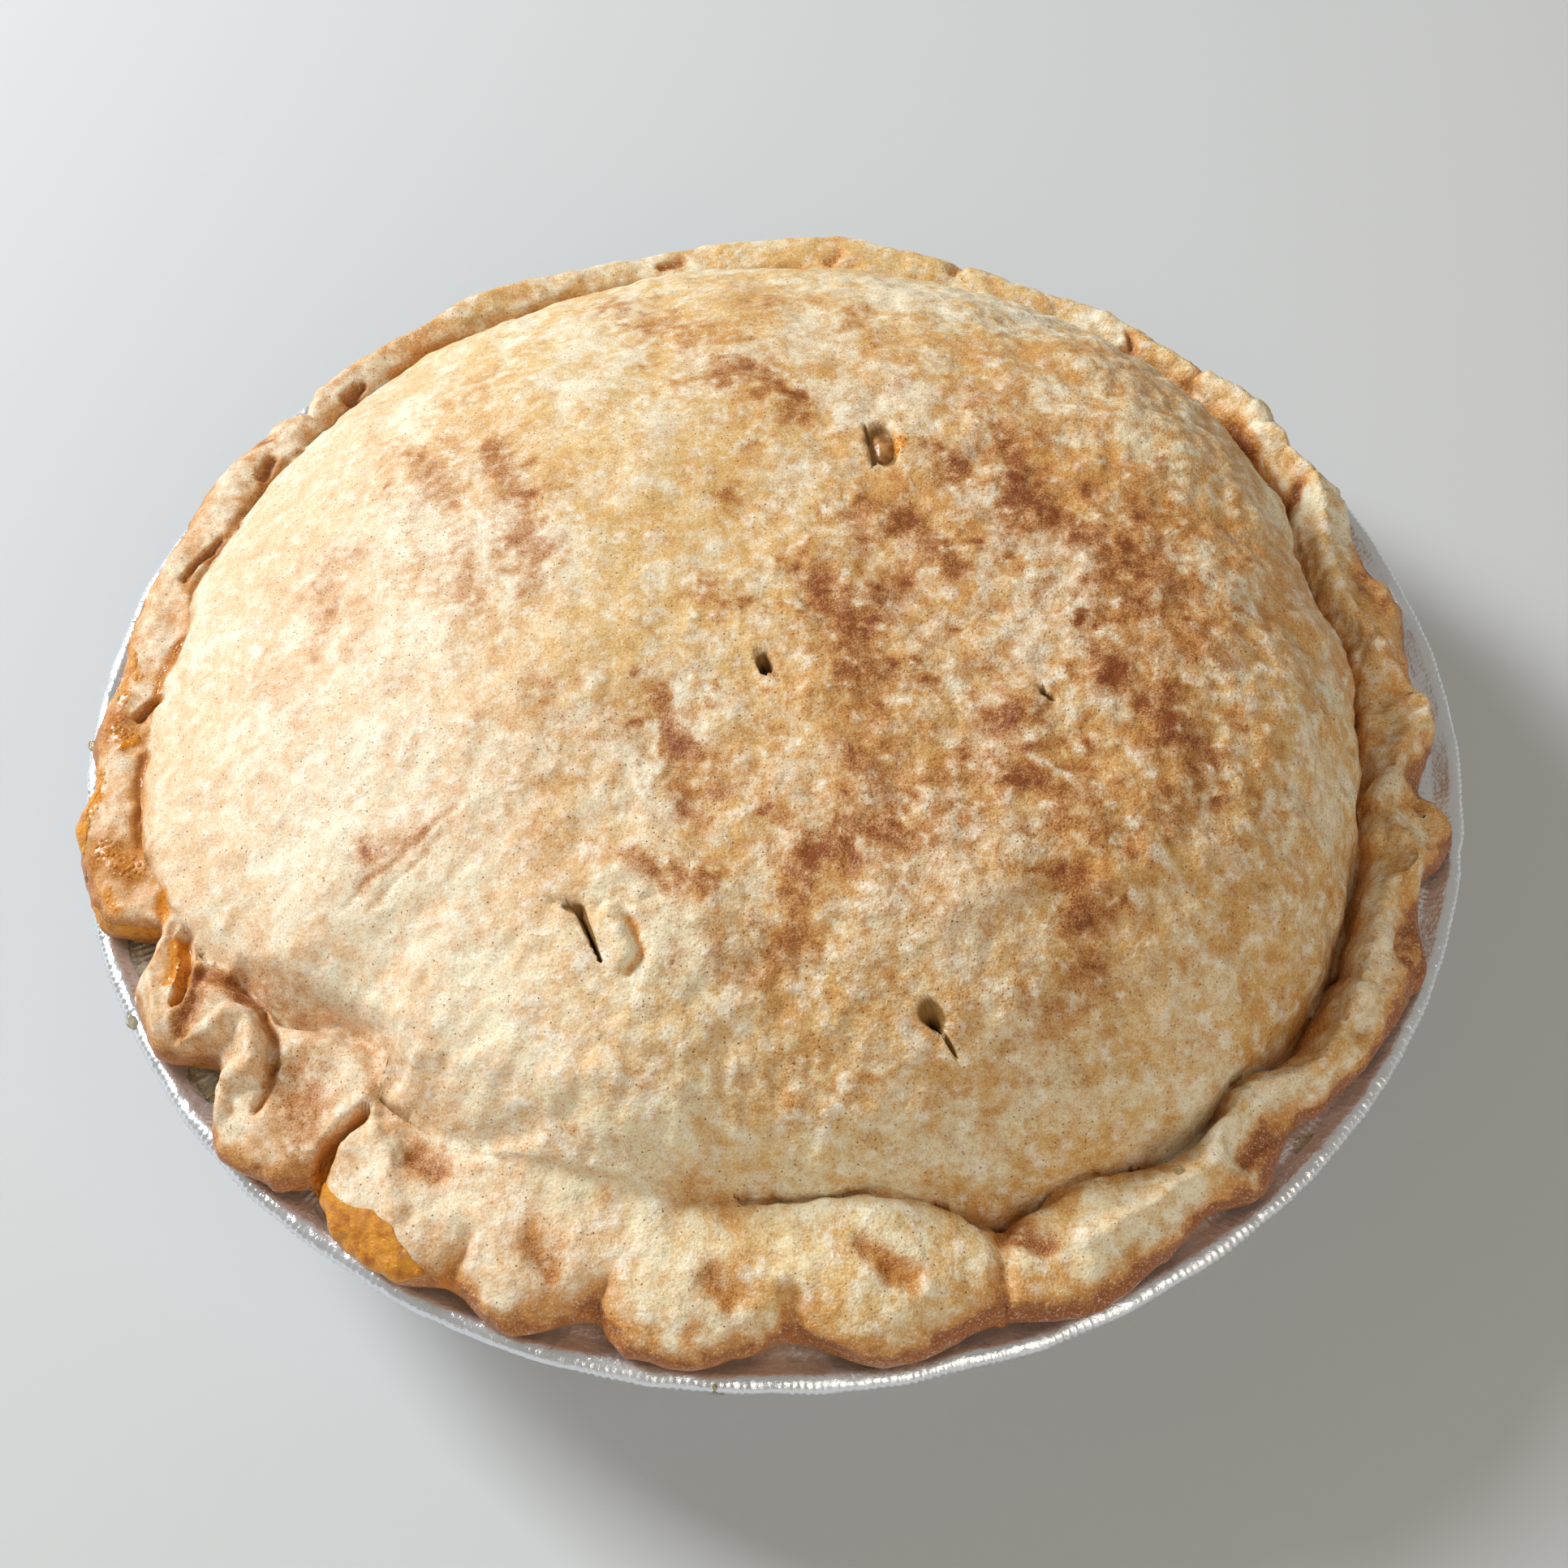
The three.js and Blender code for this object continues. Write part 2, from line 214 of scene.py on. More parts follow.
def tin_points():
    """The section carried round in quarter pleats. A pleat pushes the foil in and out by a cosine
    of its phase, more in some pleats than in others, and broader noise crumples the whole edge."""
    section = tin_section()
    phase = np.arange(PLEATS * 4) / 4
    even = phase / PLEATS * 360
    circle = round_points(122, even, 0 * even)
    angle = even + 0.16 * grain(circle, 9, 3) + 0.05 * grain(circle, 2.5, 4)
    strength = 0.1 * np.clip(1 + 1.1 * grain(circle, 7, 5) + 0.7 * grain(circle, 2, 6), 0.1, 2.4)
    wave = np.cos(2 * np.pi * phase) * strength
    radius, height, pleat = (column[:, None] for column in section.T)
    bulge = TIN_BULGE * (0.5 + 0.5 * np.cos(np.radians(angle - TIN_BULGE_ANGLE))) ** 2
    out = ease(TIN_BASE_RADIUS, TIN_RADIUS, radius)
    rolled = ease(111, 119, radius)
    flat = ease(111.6, 112.2, radius) * (1 - ease(117.4, 118, radius))
    grid = round_points(radius + 0 * angle, angle + 0 * radius, height + 0 * angle).reshape(-1, 3)
    crumple = (0.32 * grain(grid, 11, 7) + 0.14 * grain(grid, 4, 8)).reshape(len(section), -1)
    sway = 0.35 * grain(grid, 16, 9) + 0.12 * grain(grid, 5, 10) - 0.25 * np.abs(grain(grid, 3, 11))
    sway = sway.reshape(len(section), -1)
    r = radius + bulge * out + pleat * wave * (1 - flat) + rolled * crumple * (1 - flat)
    z = height + pleat * wave * flat * 0.8 + rolled * sway
    return round_points(r, angle + 0 * r, z).reshape(-1, 3)


def tin_material():
    """Bright aluminium foil: metal with fine creases and a slightly uneven polish."""
    material, tree, shader, place = new_material("foil")
    shader.inputs["Base Color"].default_value = tone("F0F4FA")
    shader.inputs["Metallic"].default_value = 0.8
    creases = speckle(tree, place, 300, 5, 0.65)
    polish = ramp(tree, speckle(tree, place, 90), 0.3, 0.7, 0.14, 0.32)
    tree.links.new(polish, shader.inputs["Roughness"])
    bump = add_node(tree, "ShaderNodeBump", {"Strength": 0.6, "Distance": 0.0007, "Height": creases})
    tree.links.new(bump.outputs[0], shader.inputs["Normal"])
    return material


tin_rings = [1] + [PLEATS * 4] * len(tin_section()) + [1]
tin_mesh_points = np.concatenate([[[0, 0, FOIL]], tin_points(), [[0, 0, 0]]])
tin = make_piece("tin_foil", tin_mesh_points, knit(tin_rings), tin_material(), "foil")
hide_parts("tin")


# ---------- crust ----------
# Flaky shortcrust, rolled out and laid over heaped apple slices down to the tin's ledge. Its edge
# is folded up and crimped by finger and thumb, and it is baked until the folds are golden brown.

GAP = 0.35
PIE_TOP = 78.5
DOME_SHOULDER = 0.75
LID_MEAN_RADIUS = 106
LID_MEAN_FOOT = 45
LOWEST_EDGE = 40.5
EDGE_ROUND = 2

# The sides of the pie with the tightest folds and with the most juice.
FOLDED_SIDE = 218
JUICY_SIDE = 230

# Points of the innermost ring, and the shares down the section at which a ring's points double.
INNER_COUNT = 120
DOUBLINGS = [0.143, 0.333, 0.714]

# Rings of the crust's hidden side and bottom: radius, height, points.
HIDDEN_RINGS = [(103.5, 24, 480), (98, 12, 240), (92.5, 1.2, 120), (46, 0.9, 120)]
BOTTOM = 0.9

# Pairs of an angle and a size round the rim, joined by smooth ramps. The crest's place is a share of
# the way from the crease to the rim's edge, and the lid's crown is the power of its dome.
RIM_REACH = [
    (0, 116), (5, 114.2), (12, 118.4), (17, 114.2), (25, 118.4), (28, 116), (36.5, 119.8), (43, 116.6),
    (50, 116.6), (55, 118), (64, 116.4), (77, 116.6), (83, 119), (91, 116.4), (97, 116.8), (107, 116.2),
    (123, 118.6), (128, 117), (139.5, 118.2), (143.2, 115.8), (147, 118), (152, 120), (159, 119.4),
    (172, 119.4), (177, 119), (183, 121), (188, 120.4), (192.5, 124), (195, 123.2), (201, 122.6),
    (204.5, 112.6), (209.5, 121.2), (213.5, 121.8), (218, 114.8), (224.5, 123.1), (229, 121),
    (231.3, 116.8), (236, 121), (241, 121.8), (245.2, 118.8), (250, 122.1), (256.3, 116.2),
    (259.5, 120.5), (263, 121.2), (271.3, 116.2), (278.2, 121.4), (286.5, 118.4), (294, 121.5),
    (300, 119.5), (305, 117), (309, 119.5), (315, 115.8), (321, 117.8), (327, 119.2), (334, 119.6),
    (341, 115), (347.3, 120.2), (352, 113.5), (358, 117.2),
]
CREST_PLACE = [
    (4.6, 0.49), (8, 0.37), (12, 0.26), (16, 0.34), (21, 0.5), (25, 0.54), (30, 0.58), (36, 0.5), (60, 0.55),
    (90, 0.6), (120, 0.6), (150, 0.5), (180, 0.42), (290, 0.42), (296, 0.53), (300, 0.58), (304, 0.52),
    (307, 0.5), (309.4, 0.24), (312.6, 0.26), (315, 0.38), (318, 0.66), (321.6, 0.65), (325.3, 0.46),
    (330.4, 0.33), (334.3, 0.26), (338, 0.35), (341.6, 0.8), (344, 0.42), (347, 0.3), (351, 0.34),
    (354.6, 0.56), (358.6, 0.82),
]
CREASE_RADIUS = [
    (0, 102), (8, 101.4), (13, 99.6), (17, 99.6), (21, 101.6), (26, 107), (45, 108.4), (65, 104.5), (72, 106),
    (80, 104.5), (90, 106.5), (120, 108), (146, 108.5), (148, 106.5), (152, 108.5), (160, 107.5),
    (167, 109), (174, 105.5), (183, 110), (196, 112), (203, 110), (209, 108.5), (214, 105), (219, 103),
    (224, 95), (229, 94.5), (232, 101), (238, 101), (250, 98), (262, 97), (270, 96), (279, 96),
    (285, 99.5), (289, 104.5), (296, 102.5), (308, 107.4), (314, 104.5), (320, 107.5), (330, 107),
    (340, 104.5), (346, 102.8), (352, 102.4),
]
LID_RADIUS = [
    (0, 103), (14, 100), (24, 105), (40, 107.6), (75, 107.5), (110, 108.5), (145, 110), (180, 112),
    (203, 112), (214, 107), (225, 97), (232, 101), (250, 101), (268, 98.5), (285, 101), (300, 105),
    (320, 107), (340, 104.6),
]
LID_CROWN = [
    (0, 5.5), (40, 4.6), (60, 3.6), (90, 3), (110, 2.6), (180, 2.3), (230, 2.4), (270, 2.8), (300, 4),
    (320, 5), (340, 5.5),
]
LID_FOOT = [
    (0, 42), (60, 44), (150, 44), (180, 45.5), (200, 47), (222, 45), (236, 48), (256, 49.5), (270, 44),
    (288, 42), (340, 41),
]
CREST_HEIGHT = [
    (0, 48), (20, 48.4), (28, 48), (36, 50), (60, 48.5), (83, 50), (105, 48), (125, 49), (152, 48.5),
    (175, 48), (193, 47.5), (204, 46.5), (214, 50), (218, 49), (225, 48), (236, 48), (262, 48),
    (278, 49.5), (288, 46.5), (300, 47), (325, 47.6), (345, 48),
]

# Broad lumps and hollows of the lid: x, y, spread, height.
LUMPS = [
    (-45, 25, 30, 1.2), (-14, -36, 16, -1.8), (56, -12, 20, 1.5), (70, 42, 14, 1.8),
    (-24, -80, 12, 1.8), (30, -60, 16, 1.2), (84, 22, 9, 1.3), (82, -22, 8, 1.2), (72, -48, 9, 1),
    (88, 0, 7, -0.8), (56, 62, 9, 1.1), (46, -76, 9, -0.9),
]

# Steam vents: x, y, length, direction.
VENTS = [
    (18, 31.5, 11, 100), (-1.9, -16.3, 5, 114), (43.3, -22.6, 5, 112), (-29, -61.8, 10, 118),
    (25.2, -77, 8, 122),
]

# Cuts and hollows that make the vents: bent line of (x, y) places, half width at its start and at
# its end, depth, and the share of the half width that is flat bottom.
CUTS = [
    ([(15.4, 36.2), (15.9, 32), (16.8, 27)], 0.45, 0.6, 1.5, 0.3),
    ([(17.9, 34.6), (18.8, 28.8)], 2.7, 2.5, 1.7, 0.55),
    ([(-2.4, -15.4), (-1.7, -16.9)], 1.3, 1.4, 3.8, 0.5),
    ([(42.4, -21.4), (43, -22.7)], 0.55, 0.75, 3, 0.35),
    ([(43.2, -23), (44.1, -23.5)], 0.65, 0.55, 3, 0.35),
    ([(-32.6, -57.2), (-31, -57.8)], 0.7, 1.1, 1.2, 0),
    ([(-30.4, -58), (-29, -61.4), (-26.9, -66.2)], 0.95, 0.36, 2.8, 0.25),
    ([(23.1, -75), (24.1, -76)], 2.4, 2, 1.7, 0),
    ([(23.4, -75.4), (24.6, -77)], 1.35, 0.7, 4, 0.1),
    ([(25.5, -78.2), (26.9, -80.2)], 0.45, 0.3, 2, 0.3),
]

# Folds and dents of the rim and the lid's edge: bent line of (angle, radius) places, half width,
# height, and how browned, cinnamon-dusted and juice-soaked each is.
FOLDS = [
    # dusty hollows of the first folded crimp, the loop outside its slot, and the slot's soaked bank
    ([(211.4, 110.6), (213.4, 112.6), (214.6, 116)], 2.6, -1.6, 0.3, 1, 0),
    ([(211.5, 108.6), (213.5, 106.8), (216, 105)], 2.6, -1.2, 0.2, 0.9, 0),
    ([(204.6, 110.6), (206, 113.8), (208.6, 117), (212.6, 119.8)], 2.6, 1.3, 0, 0, 0.25),
    ([(207.2, 111), (208.8, 112.4), (210.6, 114.6)], 1.7, -0.7, 0.1, 0, 1.1),
    # rope that loops inwards and back
    ([(216.3, 117.4), (216.8, 112.9), (217, 109.5), (218.3, 107.2), (220, 108), (221.6, 111.4), (221.2, 114),
      (220.8, 117), (222, 119.6)], 2.9, 2.9, 0.06, 0.1, 0),
    # broad folded sheet, its raised inner edge, and the valley between it and the lid
    ([(225, 107), (227, 110), (229, 113)], 6, -1, 0, 0.6, 0),
    ([(221.4, 102.6), (224.1, 101.4), (227.4, 100), (230.2, 100.8), (231.6, 103.6)], 2.8, 1.1, 0, 0.1, 0),
    ([(214, 104.2), (218.8, 100), (223.7, 95.8), (228, 94.8), (232, 97.4)], 3.5, -3.1, -0.1, 0.3, 0),
    # flaky lumps at the foot of the lid's front
    ([(260.4, 92.6), (262, 92.4)], 2.3, 0.8, -0.2, -0.2, 0), ([(264.8, 93.4),
    (266, 93.6)], 1.9, 0.7, -0.2, -0.2, 0),
    ([(268.6, 92.4), (270, 92)], 2.4, 0.8, -0.2, -0.2, 0), ([(274, 93), (276, 93.4)], 2, 0.6, -0.2, -0.2, 0),
    # soft valley between the lid's front and the rim, and the shoulder above it
    ([(237, 99.4), (242, 98), (250, 96.6), (258, 96), (265, 96.4)], 4, -1.1, 0.05, 0.15, 0),
    ([(241, 89.6), (250, 88), (260, 88), (270, 88.6), (280, 90)], 5, 0.9, -0.1, -0.1, 0),
    # ridge and dimple of the next crimp
    ([(233.4, 106), (235, 107), (237.2, 110), (239.5, 113.7)], 2.2, 1.2, 0, 0, 0),
    ([(237.6, 105.4), (240.2, 105.2)], 3, -1.3, 0.15, 0.9, 0),
    ([(236.4, 103.6), (238.6, 103), (241.6, 99.8), (247, 95), (252, 90)], 2.6, -1, 0, 0.1, 0),
    # white lumps along the lid's edge above the valley
    ([(225.2, 92.6), (226, 92.2)], 2.3, 0.8, -0.2, -0.1, 0), ([(229.4, 91.2),
    (230.6, 91.6)], 2.4, 0.9, -0.2, -0.1, 0),
    ([(233.8, 94.2), (235.2, 93.4)], 2.2, 0.8, -0.2, -0.1, 0), ([(238, 92.4),
    (239.6, 90.6)], 2.6, 0.8, -0.2, -0.1, 0),
    # finger dents and pinches along the front
    ([(250.6, 110), (252, 112.2)], 3.6, -1.1, 0.5, 0.9, 0),
    ([(264.8, 109.2), (266.8, 111.6)], 3.6, -1.1, 0.4, 0.7, 0),
    ([(277.2, 105.2), (278.8, 107.2)], 2.8, -0.9, 0.4, 0.7, 0),
    ([(279.2, 109.6), (280.6, 111)], 3, -1.2, 0.7, 0.5, 0),
    ([(290, 107), (291.4, 110.2)], 3.6, -1.3, 0.1, 1, 0),
    ([(245.2, 112), (245.2, 119)], 2.4, -1.4, 0.2, 0, 0.3),
    ([(256.4, 113), (256.3, 119)], 2.2, -1.8, 0.3, 0, 0),
    ([(271.3, 111), (271.3, 119)], 2.6, -1.8, 0.2, 0, 0),
    ([(289.4, 104), (288.2, 110), (286.6, 119)], 2.2, -2, 0.2, 0.2, 0),
    # meandering rope of the right side, and the hollows outside its bends
    ([(33, 112), (28.5, 113.2), (24.5, 112.6), (21, 109), (18, 105.6), (14.4, 104.4), (10.6, 105), (7.4, 107),
      (4.6, 108)], 3.4, 2.2, -0.1, 0, 0),
    ([(4.6, 108), (1.3, 111), (358.6, 114)], 2.8, 1.7, 0, 0.2, 0),
    ([(357, 114), (354.5, 110), (350.6, 107), (346.9, 106.4), (344.1, 108.8), (343.3, 112.4), (343.4, 115.6)],
     3.2, 2.4, -0.1, 0.1, 0),
    ([(341.6, 113.4), (337.9, 109.6), (334.3, 109.4), (330.4, 111), (325.3, 112.4), (321.6, 114),
    (318.2, 113.2),
      (315.3, 109), (312.6, 108), (309.2, 109.4), (307, 112.4), (304, 112), (300.4, 113), (295, 112.6)],
     3.3, 2.2, -0.1, 0.1, 0),
    ([(14.4, 110.6), (10, 111.6)], 3.2, -1.7, 0.6, 0, 0), ([(352.6, 113), (348.6, 112)], 3, -1.5, 0.6, 0, 0),
    ([(337.4, 114.8), (333, 115.2)], 3, -1.4, 0.6, 0, 0), ([(312.4, 113.6),
    (309.6, 115)], 3.2, -1.7, 0.6, 0, 0),
    ([(301, 106.6), (304, 107.6)], 2.4, -1, 0.3, 0.2, 0.3), ([(324.6, 107.6),
    (321, 108.6)], 2.6, -1.2, 0.3, 0, 0),
    ([(33, 107.4), (36.4, 108.4)], 2, -1.2, 0.9, 0, 0.1), ([(43, 110), (43.4, 117)], 1.6, -1.4, 0.3, 0, 0),
    # browned pockets along the back and the left
    ([(25.4, 108.6), (26.6, 110)], 1.6, -1.8, 1, 0, 0.1),
    ([(50.4, 109.4), (51.3, 111.6)], 1.5, -1.5, 1.1, 0, 0.1),
    ([(71.3, 110.6), (70.8, 115)], 1.7, -1.3, 0.5, 0, 0),
    ([(84.6, 108), (83.4, 110.4)], 1.5, -1.3, 1.1, 0.1, 0.1),
    ([(102.6, 109.6), (100.4, 110.8)], 1.5, -1, 1.1, 0.2, 0.1),
    ([(139.8, 109.3), (137.6, 110.2)], 1.7, -2, 1.2, 0.2, 0.1),
    ([(150.6, 110.6), (152.6, 110)], 1.6, -1.8, 1.3, 0.2, 0.1), ([(148.4, 114.4),
    (149.4, 115.6)], 1.5, -0.4, 0.8, 0, 0.2),
    ([(163.2, 109.8), (164.8, 111), (166.4, 111.6)], 1.3, -1.3, 1.2, 0.3, 0.2),
    ([(161.4, 109.2), (163, 109.4)], 1.1, -1.2, 1, 0.2, 0),
    ([(181.2, 109.6), (182.4, 112)], 1.4, -2, 1.4, 0.4, 0.3),
    ([(187, 110.3), (189.4, 110.9), (193, 112), (196.4, 112.8)], 1.4, -0.5, 0.9, 0.2, 0.3),
    ([(143.2, 108), (143.4, 116)], 1.8, -1.4, 0.2, 0, 0),
    ([(202.2, 110.6), (203.6, 111.6)], 1.6, -0.8, 0.1, 0, 1.1),
    # glazed and bubbled places of the left edge
    ([(176.3, 115.6), (178.5, 114.1)], 1.8, 0.4, 0.1, 0, 0.7), ([(179, 117),
    (180.4, 115.6)], 2, 0.2, 0.3, 0, 0.6),
    ([(182.4, 118), (184, 116.4), (184.8, 113.6)], 3.8, 0.3, 0.5, 0.6, 0.5), ([(185.4, 112.2),
    (186, 114.6)], 0.9, 0.4, 0, 0, 0.9),
    ([(188, 118.4), (190.5, 119.4), (193, 121.4)], 1.8, 0.3, 0.1, 0, 0.9),
    ([(195.8, 119), (197.4, 116.6), (198.4, 114.2)], 4.2, 0.3, 0.5, 0.6, 0.5),
    ([(174, 107.6), (178, 109.2), (181, 110)], 1.5, -0.5, 0.9, 0, 0.5), ([(199.6, 119.4),
    (201.6, 118.2)], 1.6, 0, 0.4, 0, 0.6),
    # scratches where the lid was brushed
    ([(216.9, 86.4), (217.6, 79), (217.6, 72), (217.3, 64)], 0.9, -0.22, 0, 0.3, 0),
    ([(219.6, 84), (219.6, 76), (219.4, 69)], 0.8, -0.2, 0, 0.2, 0),
    # amber juice at the right edge of the back vent
    ([(56.9, 38.2), (55.9, 36.4)], 1.5, 0.2, 0.3, 0, 1.3),
    # crust pushed up beside the front vent, golden at its right and lower end
    ([(246.8, 65.6), (250.8, 70.1)], 3.3, 2, 0, -0.2, 0),
    ([(249.6, 65.1), (252.9, 69), (252, 72.4)], 1.3, -0.6, 0.6, 0, 0.6),
    ([(238.2, 65.8), (241.2, 65.4)], 1, -0.5, 0, 0, 0), ([(244.5, 63.8), (249.2, 62),
    (253.6, 59.1)], 1, -0.5, 0, 0, 0),
]

# Sharp slots between folded layers, and the creased foot of the rim: as the folds, with depths. Their browned
# column darkens the slots and the crease, partly as painted shade.
SLOTS = [
    ([(206.8, 109.6), (209, 110.6), (211.2, 112.9), (212.9, 115.8)], 1.15, 2.7, 0.6, 0, 0.8),
    ([(217.4, 104.4), (220.8, 106), (222.6, 108.8)], 1.2, 2.6, 0.7, 0.2, 0),
    ([(222.6, 108.8), (223.8, 112), (224.4, 115)], 0.9, 1.3, 0.5, 0.2, 0),
    ([(217.8, 122), (217.9, 118.4), (217.2, 115.4)], 1.7, 3, 0.4, 0, 0),
    ([(231.4, 104.8), (231.4, 110), (231.7, 114), (232.2, 119)], 1.9, 4.6, 0.7, 0, 0.6),
    ([(267, 96.4), (273, 96.2), (279, 96.4), (284, 98.8), (288.6, 103.6)], 1.7, 2.2, 0.25, 0, 0),
    ([(289.6, 104), (296, 102.8), (303, 105.2), (308.6, 107), (314, 104.8), (320, 107.2), (330, 107)],
     1.9, 2.4, 0.3, 0, 0),
    ([(330, 107), (340, 104.6), (346, 102.8), (352, 102.4), (358, 102.2), (366, 102)], 1.9, 2.6, 0.35, 0, 0),
    ([(6, 102), (13, 99.8), (17, 99.8), (21, 101.8), (26, 107)], 1.8, 2.4, 0.4, 0, 0),
    ([(26, 107), (36, 108.6), (46, 108.6), (56, 107), (65, 104.6)], 1.5, 1.4, 0.4, 0, 0),
    ([(106, 107.4), (120, 108.2), (134, 108.6)], 1.3, 0.8, 0.3, 0.1, 0),
    ([(148, 107), (152, 108.8), (160, 107.9), (167, 108.8), (173, 106),
    (178, 107.4)], 1.2, 0.5, 0.25, 0.3, 0),
]

# How browned the rim is round the pie.
RIM_BROWNING = [
    (0, 0.4), (30, 0.34), (60, 0.25), (90, 0.16), (110, 0.34), (145, 0.46), (160, 0.52), (180, 0.5),
    (198, 0.34), (208, 0.16), (225, 0.1), (250, 0.14), (285, 0.22), (310, 0.34), (340, 0.4),
]

# Cinnamon shaken over the lid in strokes: bent line of (x, y) places, spread, strength.
STROKES = [
    ([(-10, 52), (-5, 49)], 3.6, 0.65), ([(-3, 50), (0, 47)], 2.2, 0.55), ([(2.6, 44), (3.4, 38)], 1.8, 0.9),
    ([(-8.4, 19.2), (-8.2, 18.4)], 1.5, 0.95), ([(-12, -1), (-11, -5)], 2, 0.7),
    ([(13, 15), (13.6, 10)], 2.2, 0.7), ([(18.6, 17), (23, 12), (29.8, 3.6)], 2.8, 0.85),
    ([(7.2, 0), (9, -5), (12.4, -9), (13.2, -14), (11, -19)], 2.7, 1.1), ([(18.6, 1), (18.4, -8)], 2.2, 0.6),
    ([(29.4, 24.4), (30.4, 23.6)], 2.4, 0.75), ([(39, 27), (41, 20), (50, 13)], 4, 0.8),
    ([(41.6, 20), (46, 17)], 2.2, 0.6), ([(52, 12), (56.5, 8)], 3.4, 0.6), ([(56, 4), (58, -4)], 3, 0.7),
    ([(64, 8), (68, -4), (70, -10)], 5, 0.62), ([(54.2, -18.6), (54.8, -18.8)], 2.2, 1.1),
    ([(58, -12), (62, -20), (66, -30)], 5.5, 0.55), ([(62, -28), (68.5, -31)], 3, 0.7),
    ([(37, -28), (39.4, -27.6)], 2.6, 0.85), ([(36, -36), (40, -39)], 2.4, 0.6),
    ([(45.8, -37), (43.8, -45)], 2.4, 0.8), ([(45, -54.6), (48.4, -62)], 2.6, 1.1),
    ([(-18.8, -21), (-17.6, -26), (-16.2, -30)], 1.8, 1.2), ([(-15.6, -31), (-12, -42)], 4, 0.5),
    ([(6, -50), (12, -48), (18.8, -48)], 3.2, 0.9), ([(4.8, -52), (2.6, -64)], 2.2, 0.8),
    ([(-15, -54), (-11.6, -55.6)], 2, 0.85), ([(-22, -50.6), (-20, -52)], 1.8, 0.7),
    ([(-50.4, 35.6), (-48.6, 30), (-46.2, 23.6)], 2, 0.7), ([(-63, 32), (-58.4, 26)], 2.8, 0.42),
    ([(-67, 38), (-61, 35)], 2.6, 0.45), ([(-43, 15), (-41, 3)], 3, 0.6), ([(-54, 11), (-51, -1)], 3, 0.45),
    ([(-78, 16), (-77, 0)], 4, 0.4), ([(-55, 58), (-54, 54)], 3, 0.45), ([(-34, 82), (-29, 78)], 3.4, 0.6),
    ([(-22, 72), (-14, 62)], 4, 0.4), ([(-2, 78), (-1.6, 74)], 2, 0.5), ([(14, 70), (16, 64)], 3, 0.35),
    ([(36, 40), (42, 34)], 5, 0.4), ([(62, 22), (66, 16)], 5, 0.45), ([(61, -42), (56, -46)], 5, 0.5),
    ([(48, -68), (40, -74)], 4, 0.4), ([(15, -20), (15.8, -38)], 4, 0.45), ([(26, -46), (32, -38)], 4, 0.4),
    ([(-38, -18.6), (-37, -22)], 2, 0.5), ([(-10, -64), (-4, -70)], 4, 0.35), ([(-66, -43.6),
    (-65.8, -43.8)], 0.5, 1.3),
    ([(-66, -47), (-58, -42)], 2.6, 0.5), ([(-24, -86), (10, -86)], 3, 0.35), ([(-86, -8),
    (-80, -20)], 5, 0.25),
]

# Broad tones of the lid: x, y, spread, light dusting, browning, flour.
BROAD_TONES = [
    (48, -12, 42, 0.2, 0.07, 0), (10, -42, 34, 0.22, 0, 0.2), (-52, 22, 24, 0.2, 0, 0),
    (0, 58, 30, 0.2, 0.1, 0), (24, 12, 26, 0.16, 0.06, 0), (20, -78, 30, 0.18, 0.06, 0.1),
    (58, 50, 34, 0.1, 0.34, 0), (84, 6, 26, 0, 0.3, 0.2), (70, -52, 26, 0.1, 0.16, 0.3),
    (-66, -14, 34, 0, -0.06, 0.4), (-36, -36, 22, 0.16, 0, 0), (-42, -80, 26, -0.08, 0, 0.6),
    (6, -98, 30, -0.04, 0.06, 0.2), (-76, 44, 26, 0, -0.04, 0.2),
]

# Butter-yellow parts of the dough: x, y, spread, strength.
BUTTERY = [
    (-24, -78, 32, 0.5), (30, -88, 30, 0.4), (68, -56, 28, 0.4), (74, 34, 28, 0.5), (-4, 72, 28, 0.4),
    (0, -110, 30, 0.3),
]


def around(pairs, angle):
    """The size in a list of (angle, size) pairs at any angle, with smooth ramps between pairs."""
    at, size = np.array(pairs + [(360 + pairs[0][0], pairs[0][1])], float).T
    angle = np.mod(angle, 360)
    i = np.clip(np.searchsorted(at, angle, side="right") - 1, 0, len(pairs) - 1)
    return mix(size[i], size[i + 1], ease(0, 1, (angle - at[i]) / (at[i + 1] - at[i])))


def bell(x, y, at_x, at_y, spread):
    """1 at a place and falling off round it as e^-(distance / spread)^2."""
    return np.exp(-((x - at_x) ** 2 + (y - at_y) ** 2) / spread**2)


def lid_height(angle, radius):
    """Height of the domed lid: a foot plus (1 - share^crown)^0.75 of the way to the top, where share
    is the distance from the middle over the lid's own radius, plus broad bell-shaped lumps. The
    radius and the foot are the lid's means in its middle, and differ round it only near its edge."""
    foot_radius = around(LID_RADIUS, angle)
    edge = np.minimum(radius / foot_radius, 1) ** 4
    share = np.minimum(radius / mix(LID_MEAN_RADIUS, foot_radius, edge), 1)
    rise = (1 - share ** around(LID_CROWN, angle)) ** DOME_SHOULDER
    height = mix(mix(LID_MEAN_FOOT, around(LID_FOOT, angle), edge), PIE_TOP, rise)
    x, y = radius * np.cos(np.radians(angle)), radius * np.sin(np.radians(angle))
    for at_x, at_y, spread, lump in LUMPS:
        height = height + lump * bell(x, y, at_x, at_y, spread)
    return height


def gather(x, y):
    """Draws the grid towards each vent's long line, so that its cut edges get narrow faces: the
    distance from the line shrinks by 0.62 of itself at the vent and ever less away from it."""
    for at_x, at_y, length, turn in VENTS:
        c, s = np.cos(np.radians(turn)), np.sin(np.radians(turn))
        along, across = (x - at_x) * c + (y - at_y) * s, (y - at_y) * c - (x - at_x) * s
        pull = -0.62 * across * np.exp(-((along / (length / 2 + 4)) ** 2) - (across / 8) ** 2)
        x, y = x - pull * s, y + pull * c
    return x, y


